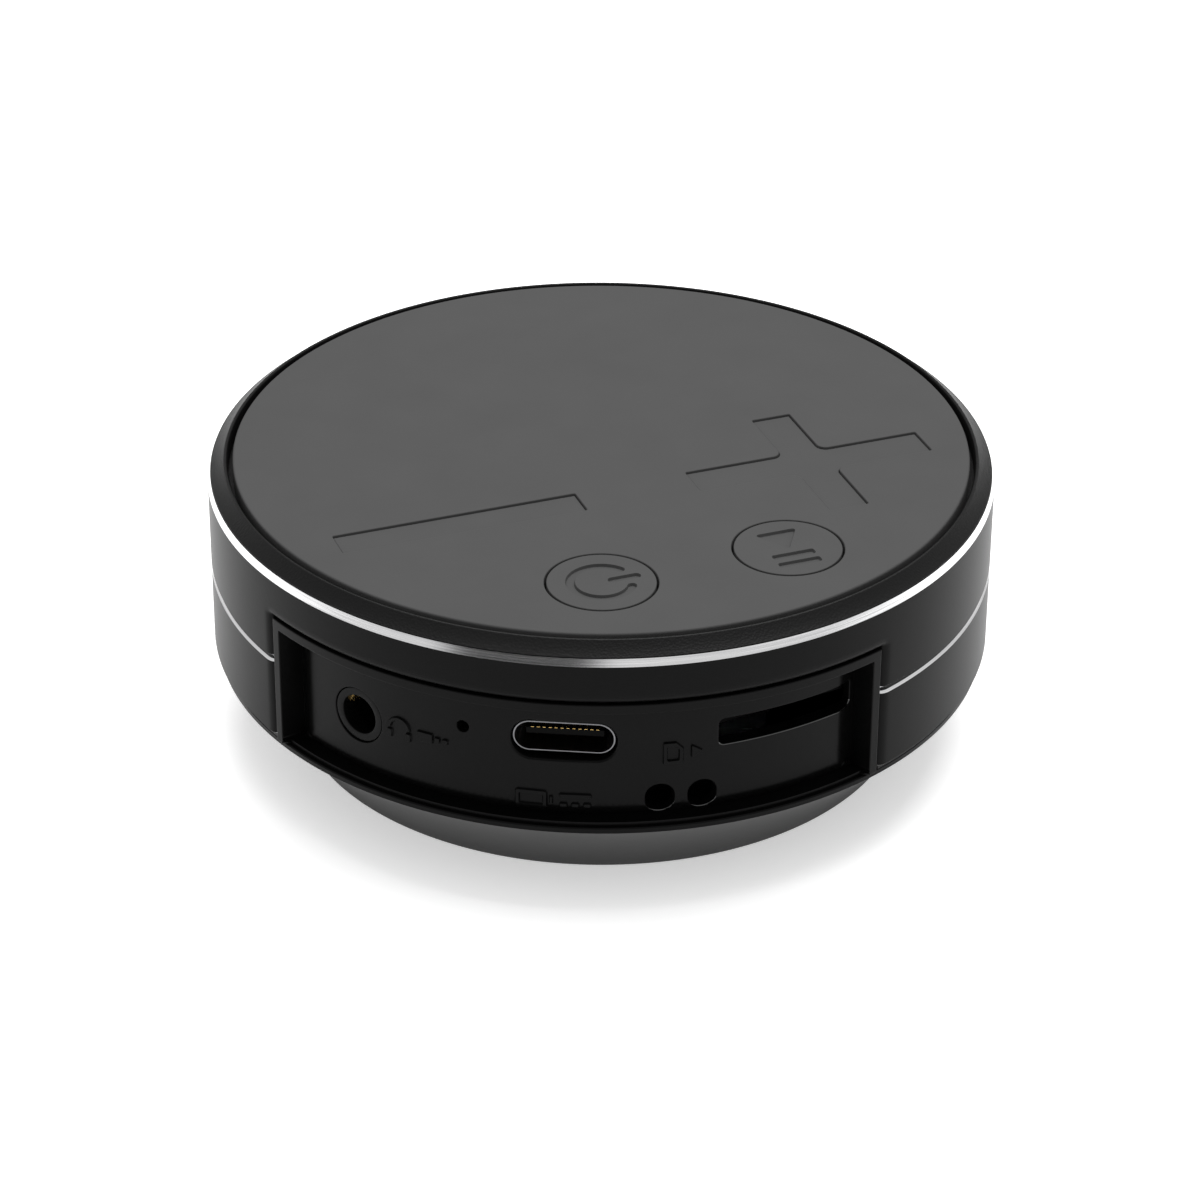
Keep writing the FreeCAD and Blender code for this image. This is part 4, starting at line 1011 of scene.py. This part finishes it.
# %% The row tree
rowing = bpy.data.node_groups.new("set out in rows", "GeometryNodeTree")
rowing.interface.new_socket("One piece", in_out="INPUT", socket_type="NodeSocketGeometry")
count_in = rowing.interface.new_socket("Count", in_out="INPUT", socket_type="NodeSocketInt")
per_row_in = rowing.interface.new_socket("Per row", in_out="INPUT", socket_type="NodeSocketInt")
pitch_in = rowing.interface.new_socket("Pitch", in_out="INPUT", socket_type="NodeSocketFloat")
rise_in = rowing.interface.new_socket("Rise", in_out="INPUT", socket_type="NodeSocketFloat")
forward_in = rowing.interface.new_socket("Step forward", in_out="INPUT", socket_type="NodeSocketFloat")
leaf_in = rowing.interface.new_socket("Finish", in_out="INPUT", socket_type="NodeSocketMaterial")
rowing.interface.new_socket("Rows", in_out="OUTPUT", socket_type="NodeSocketGeometry")
given = add(rowing, "NodeGroupInput").outputs
index = add(rowing, "GeometryNodeInputIndex")
place_in_row = add(rowing, "FunctionNodeIntegerMath", {0: index.outputs[0], 1: given["Per row"]}, operation="MODULO")
row = add(rowing, "FunctionNodeIntegerMath", {0: index.outputs[0], 1: given["Per row"]}, operation="DIVIDE_FLOOR")
along = add(rowing, "ShaderNodeMath", {0: place_in_row.outputs[0], 1: given["Pitch"]}, operation="MULTIPLY")
up = add(rowing, "ShaderNodeMath", {0: row.outputs[0], 1: given["Rise"]}, operation="MULTIPLY")
forward = add(rowing, "ShaderNodeMath", {0: row.outputs[0], 1: given["Step forward"]}, operation="MULTIPLY")
spot = add(rowing, "ShaderNodeCombineXYZ", {"X": along.outputs[0], "Y": forward.outputs[0], "Z": up.outputs[0]})
dots = add(rowing, "GeometryNodePoints", {"Count": given["Count"], "Position": spot.outputs[0]})
copies = add(rowing, "GeometryNodeInstanceOnPoints", {"Points": dots.outputs[0], "Instance": given["One piece"]})
real = add(rowing, "GeometryNodeRealizeInstances", {"Geometry": copies.outputs[0]})
finished = add(rowing, "GeometryNodeSetMaterial", {"Geometry": real.outputs[0], "Material": given["Finish"]})
add(rowing, "NodeGroupOutput", {"Rows": finished.outputs[0]})
print("row tree has", len(rowing.nodes), "nodes")

# %% Contacts
low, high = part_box("usb_c_contacts")
contact = bpy.data.meshes.new("contact")
work = bmesh.new()
bmesh.ops.create_cube(work, size=1.0)
bmesh.ops.scale(work, vec=(0.25 * MM, high.y - low.y + 0.06 * MM, 0.05 * MM), verts=work.verts)
bmesh.ops.bevel(work, geom=work.edges, offset=0.012 * MM, segments=2, profile=0.5, affect="EDGES")
bmesh.ops.translate(work, verts=work.verts,
                    vec=(low.x + 0.125 * MM, (low.y + high.y - 0.06 * MM) / 2, low.z + 0.02 * MM))
work.to_mesh(contact)
work.free()
mesh = made_by(rowing, contact, [(count_in, 24), (per_row_in, 12), (pitch_in, 0.5 * MM),
                                 (rise_in, high.z - low.z - 0.04 * MM), (forward_in, -0.3 * MM), (leaf_in, gold)])
piece("charging_socket_contacts", mesh, "receiver", "gold_contact", "usb_c_contacts")

# %% [markdown]
# Three sprung leaves reach into the jack's bore to touch a plug. Each is a bent strip, and
# the one nearest the mouth gives the small bright glint there.

# %% Jack contacts
def leaf_mesh(paths):
    """Strips that follow (depth, distance from the axis) points, each at its own turn about the bore."""
    work = bmesh.new()
    place = facing(JACK_TURN, JACK_LEVEL, 33.1)
    for turn, path in paths:
        c, s = math.cos(math.radians(turn)), math.sin(math.radians(turn))
        loops = []
        for depth, away in path:
            corners = ((away, -0.42), (away, 0.42), (away + 0.14, 0.42), (away + 0.14, -0.42))
            loops.append([work.verts.new(place(a * c - b * s, a * s + b * c, depth)) for a, b in corners])
        for first, second in zip(loops, loops[1:]):
            for k in range(4):
                work.faces.new((first[k], first[(k + 1) % 4], second[(k + 1) % 4], second[k]))
        work.faces.new(loops[0])
        work.faces.new(loops[-1])
    mesh = bpy.data.meshes.new("leaves")
    work.to_mesh(mesh)
    work.free()
    return mesh


mesh = settle(leaf_mesh([
    (150, [(3.6, 1.8), (2.6, 1.55), (1.7, 1.3), (1.3, 1.28), (0.9, 1.45), (0.7, 1.6)]),
    (285, [(7.5, 1.8), (6.5, 1.6), (5.6, 1.4), (5.0, 1.4), (4.6, 1.7)]),
    (30, [(11.0, 1.8), (10.0, 1.6), (9.1, 1.4), (8.5, 1.4), (8.1, 1.7)]),
]), crisp=50, weld=1e-8)
mesh.materials.append(gold)
piece("audio_jack_contacts", mesh, "receiver", "gold_contact", "aux_contacts")

# %% [markdown]
# ## Parts inside the case
# The board, chips, battery and screws keep their CAD shapes, which are true, and get real
# finishes. They are seen only through the sockets, or when the case is opened.

# %% Circuit board
# Glass-epoxy board under a dark green solder resist: a soft gloss over faint copper relief.
resist, tree = new_finish("green solder resist on glass epoxy")
where = add(tree, "ShaderNodeTexCoord")
copper = add(tree, "ShaderNodeTexBrick", {
    "Vector": where.outputs["Object"], "Scale": per(4), "Color1": colour("#0f2f1e"), "Color2": colour("#123624"),
    "Mortar": colour("#1f5036"), "Mortar Size": 0.03})
relief_bump = add(tree, "ShaderNodeBump", {"Height": copper.outputs["Fac"], "Strength": 0.2, "Distance": 0.00003})
board = add(tree, "ShaderNodeBsdfPrincipled", {
    "Base Color": copper.outputs["Color"], "Roughness": 0.35, "IOR": 1.55, "Normal": relief_bump.outputs[0]})
add(tree, "ShaderNodeOutputMaterial", {"Surface": board.outputs[0]})

# %% Mottled finishes
# Many plain materials differ only in how large their mottling is, in two tones and in gloss.
def mottled(name, size, dark, light, detail=2.0, **gloss):
    """A finish that drifts between two tones, with these numbers on its shader."""
    material, tree = new_finish(name)
    where = add(tree, "ShaderNodeTexCoord")
    drift = add(tree, "ShaderNodeTexNoise", {
        "Vector": where.outputs["Object"], "Scale": per(size), "Detail": detail})
    tone = add(tree, "ShaderNodeMix", {0: drift.outputs[0], 6: colour(dark), 7: colour(light)}, data_type="RGBA")
    named = {key.replace("_", " "): value for key, value in gloss.items()}
    body = add(tree, "ShaderNodeBsdfPrincipled", {"Base Color": tone.outputs[2], **named})
    add(tree, "ShaderNodeOutputMaterial", {"Surface": body.outputs[0]})
    return material


# Fired ceramic is pale tan, dense and faintly speckled.
ceramic = mottled("fired component ceramic", 0.15, "#8f7d62", "#b7a587", Roughness=0.45)
# Bright zinc over steel is a little cloudy where the plating pooled.
zinc = mottled("zinc plated screw steel", 0.7, "#9a9ca0", "#c4c6c8", Metallic=1.0, Roughness=0.32)
# The microphone's can is thin, drawn and satin.
can = mottled("nickel plated microphone can", 0.5, "#a8a59c", "#c9c6bd", Metallic=1.0, Roughness=0.35)
# The rubber sleeve is soft and black, with a dusty bloom.
sleeve = mottled("moulded black rubber", 0.8, "#0b0b0b", "#191919", 3.0, Roughness=0.8, Specular_IOR_Level=0.2)
# Vinyl insulation is smooth and slightly waxy.
vinyl = mottled("red vinyl wire insulation", 1, "#7c1512", "#94201b", Roughness=0.4)

# %% Chips
# Black epoxy pressed round the silicon is matt, with a fine sandy grain.
epoxy, tree = new_finish("black chip epoxy")
where = add(tree, "ShaderNodeTexCoord")
sand = add(tree, "ShaderNodeTexNoise", {"Vector": where.outputs["Object"], "Scale": per(0.12), "Detail": 2.0})
tone = add(tree, "ShaderNodeMix", {0: sand.outputs[0], 6: colour("#161616"), 7: colour("#242424")},
           data_type="RGBA")
sand_bump = add(tree, "ShaderNodeBump", {"Height": sand.outputs[0], "Strength": 0.4, "Distance": 0.00002})
body = add(tree, "ShaderNodeBsdfPrincipled", {
    "Base Color": tone.outputs[2], "Roughness": 0.6, "Normal": sand_bump.outputs[0]})
add(tree, "ShaderNodeOutputMaterial", {"Surface": body.outputs[0]})

# %% Battery film
# The cell's laminate is silvery with shallow wrinkles.
film, tree = new_finish("aluminium laminate cell film")
where = add(tree, "ShaderNodeTexCoord")
wrinkle = add(tree, "ShaderNodeTexNoise", {
    "Vector": where.outputs["Object"], "Scale": per(3), "Detail": 4.0, "Distortion": 0.6})
tone = add(tree, "ShaderNodeMix", {0: wrinkle.outputs[0], 6: colour("#b4b6b9"), 7: colour("#cfd1d3")},
           data_type="RGBA")
wrinkle_bump = add(tree, "ShaderNodeBump", {"Height": wrinkle.outputs[0], "Strength": 0.5, "Distance": 0.00015})
body = add(tree, "ShaderNodeBsdfPrincipled", {
    "Base Color": tone.outputs[2], "Metallic": 0.8, "Roughness": 0.38, "Normal": wrinkle_bump.outputs[0]})
add(tree, "ShaderNodeOutputMaterial", {"Surface": body.outputs[0]})

# %% Foam tape
# Closed-cell foam shows its small open bubbles at the cut edge. Each bubble is painted darker towards its middle:
# painted shade in the hollow.
foam, tree = new_finish("black closed-cell foam")
where = add(tree, "ShaderNodeTexCoord")
bubble = add(tree, "ShaderNodeTexVoronoi", {"Vector": where.outputs["Object"], "Scale": per(0.3)})
bubble_bump = add(tree, "ShaderNodeBump", {"Height": bubble.outputs[0], "Strength": 0.7, "Distance": 0.0001})
# The bubble pattern also sets the colour, so each hollow gets painted shade that is darkest at its bottom.
tone = add(tree, "ShaderNodeMix", {0: bubble.outputs[0], 6: colour("#0e0e0e"), 7: colour("#262626")},
           data_type="RGBA")
body = add(tree, "ShaderNodeBsdfPrincipled", {
    "Base Color": tone.outputs[2], "Roughness": 0.9, "Normal": bubble_bump.outputs[0]})
add(tree, "ShaderNodeOutputMaterial", {"Surface": body.outputs[0]})
print(len(bpy.data.materials), "finishes")

# %% Give every CAD part its finish
FINISHES = [
    (anodised, "side_band"), (abs_black, "top_cover lower_housing"), (insert_black, "port_bay"),
    (silicone, "base_foot key_pad minus_key plus_key power_key mode_key"),
    (zinc, "case_screws board_screws"), (resist, "main_board"),
    (socket_black, "switch_housings aux_jack usb_c_tongue card_socket_base battery_header battery_plug"),
    (socket_black, "minus_plunger plus_plunger power_plunger mode_plunger"),
    (ceramic, "chip_resistors crystal chip_antenna"), (epoxy, "bluetooth_chip charger_chip audio_amplifier"),
    (gold, "aux_contacts usb_c_contacts"), (sleeve, "mic_boot"), (can, "microphone"),
    (shell_steel, "usb_c_shell card_socket_cover"), (foam, "battery_tape"), (film, "battery"),
    (vinyl, "battery_leads"),
]
dressed = set()
for finish, names in FINISHES:
    for name in names.split():
        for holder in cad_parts[name].material_slots:
            holder.material = finish
        dressed.add(name)
print(len(dressed), "CAD parts dressed; left over:", sorted(set(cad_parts) - dressed))
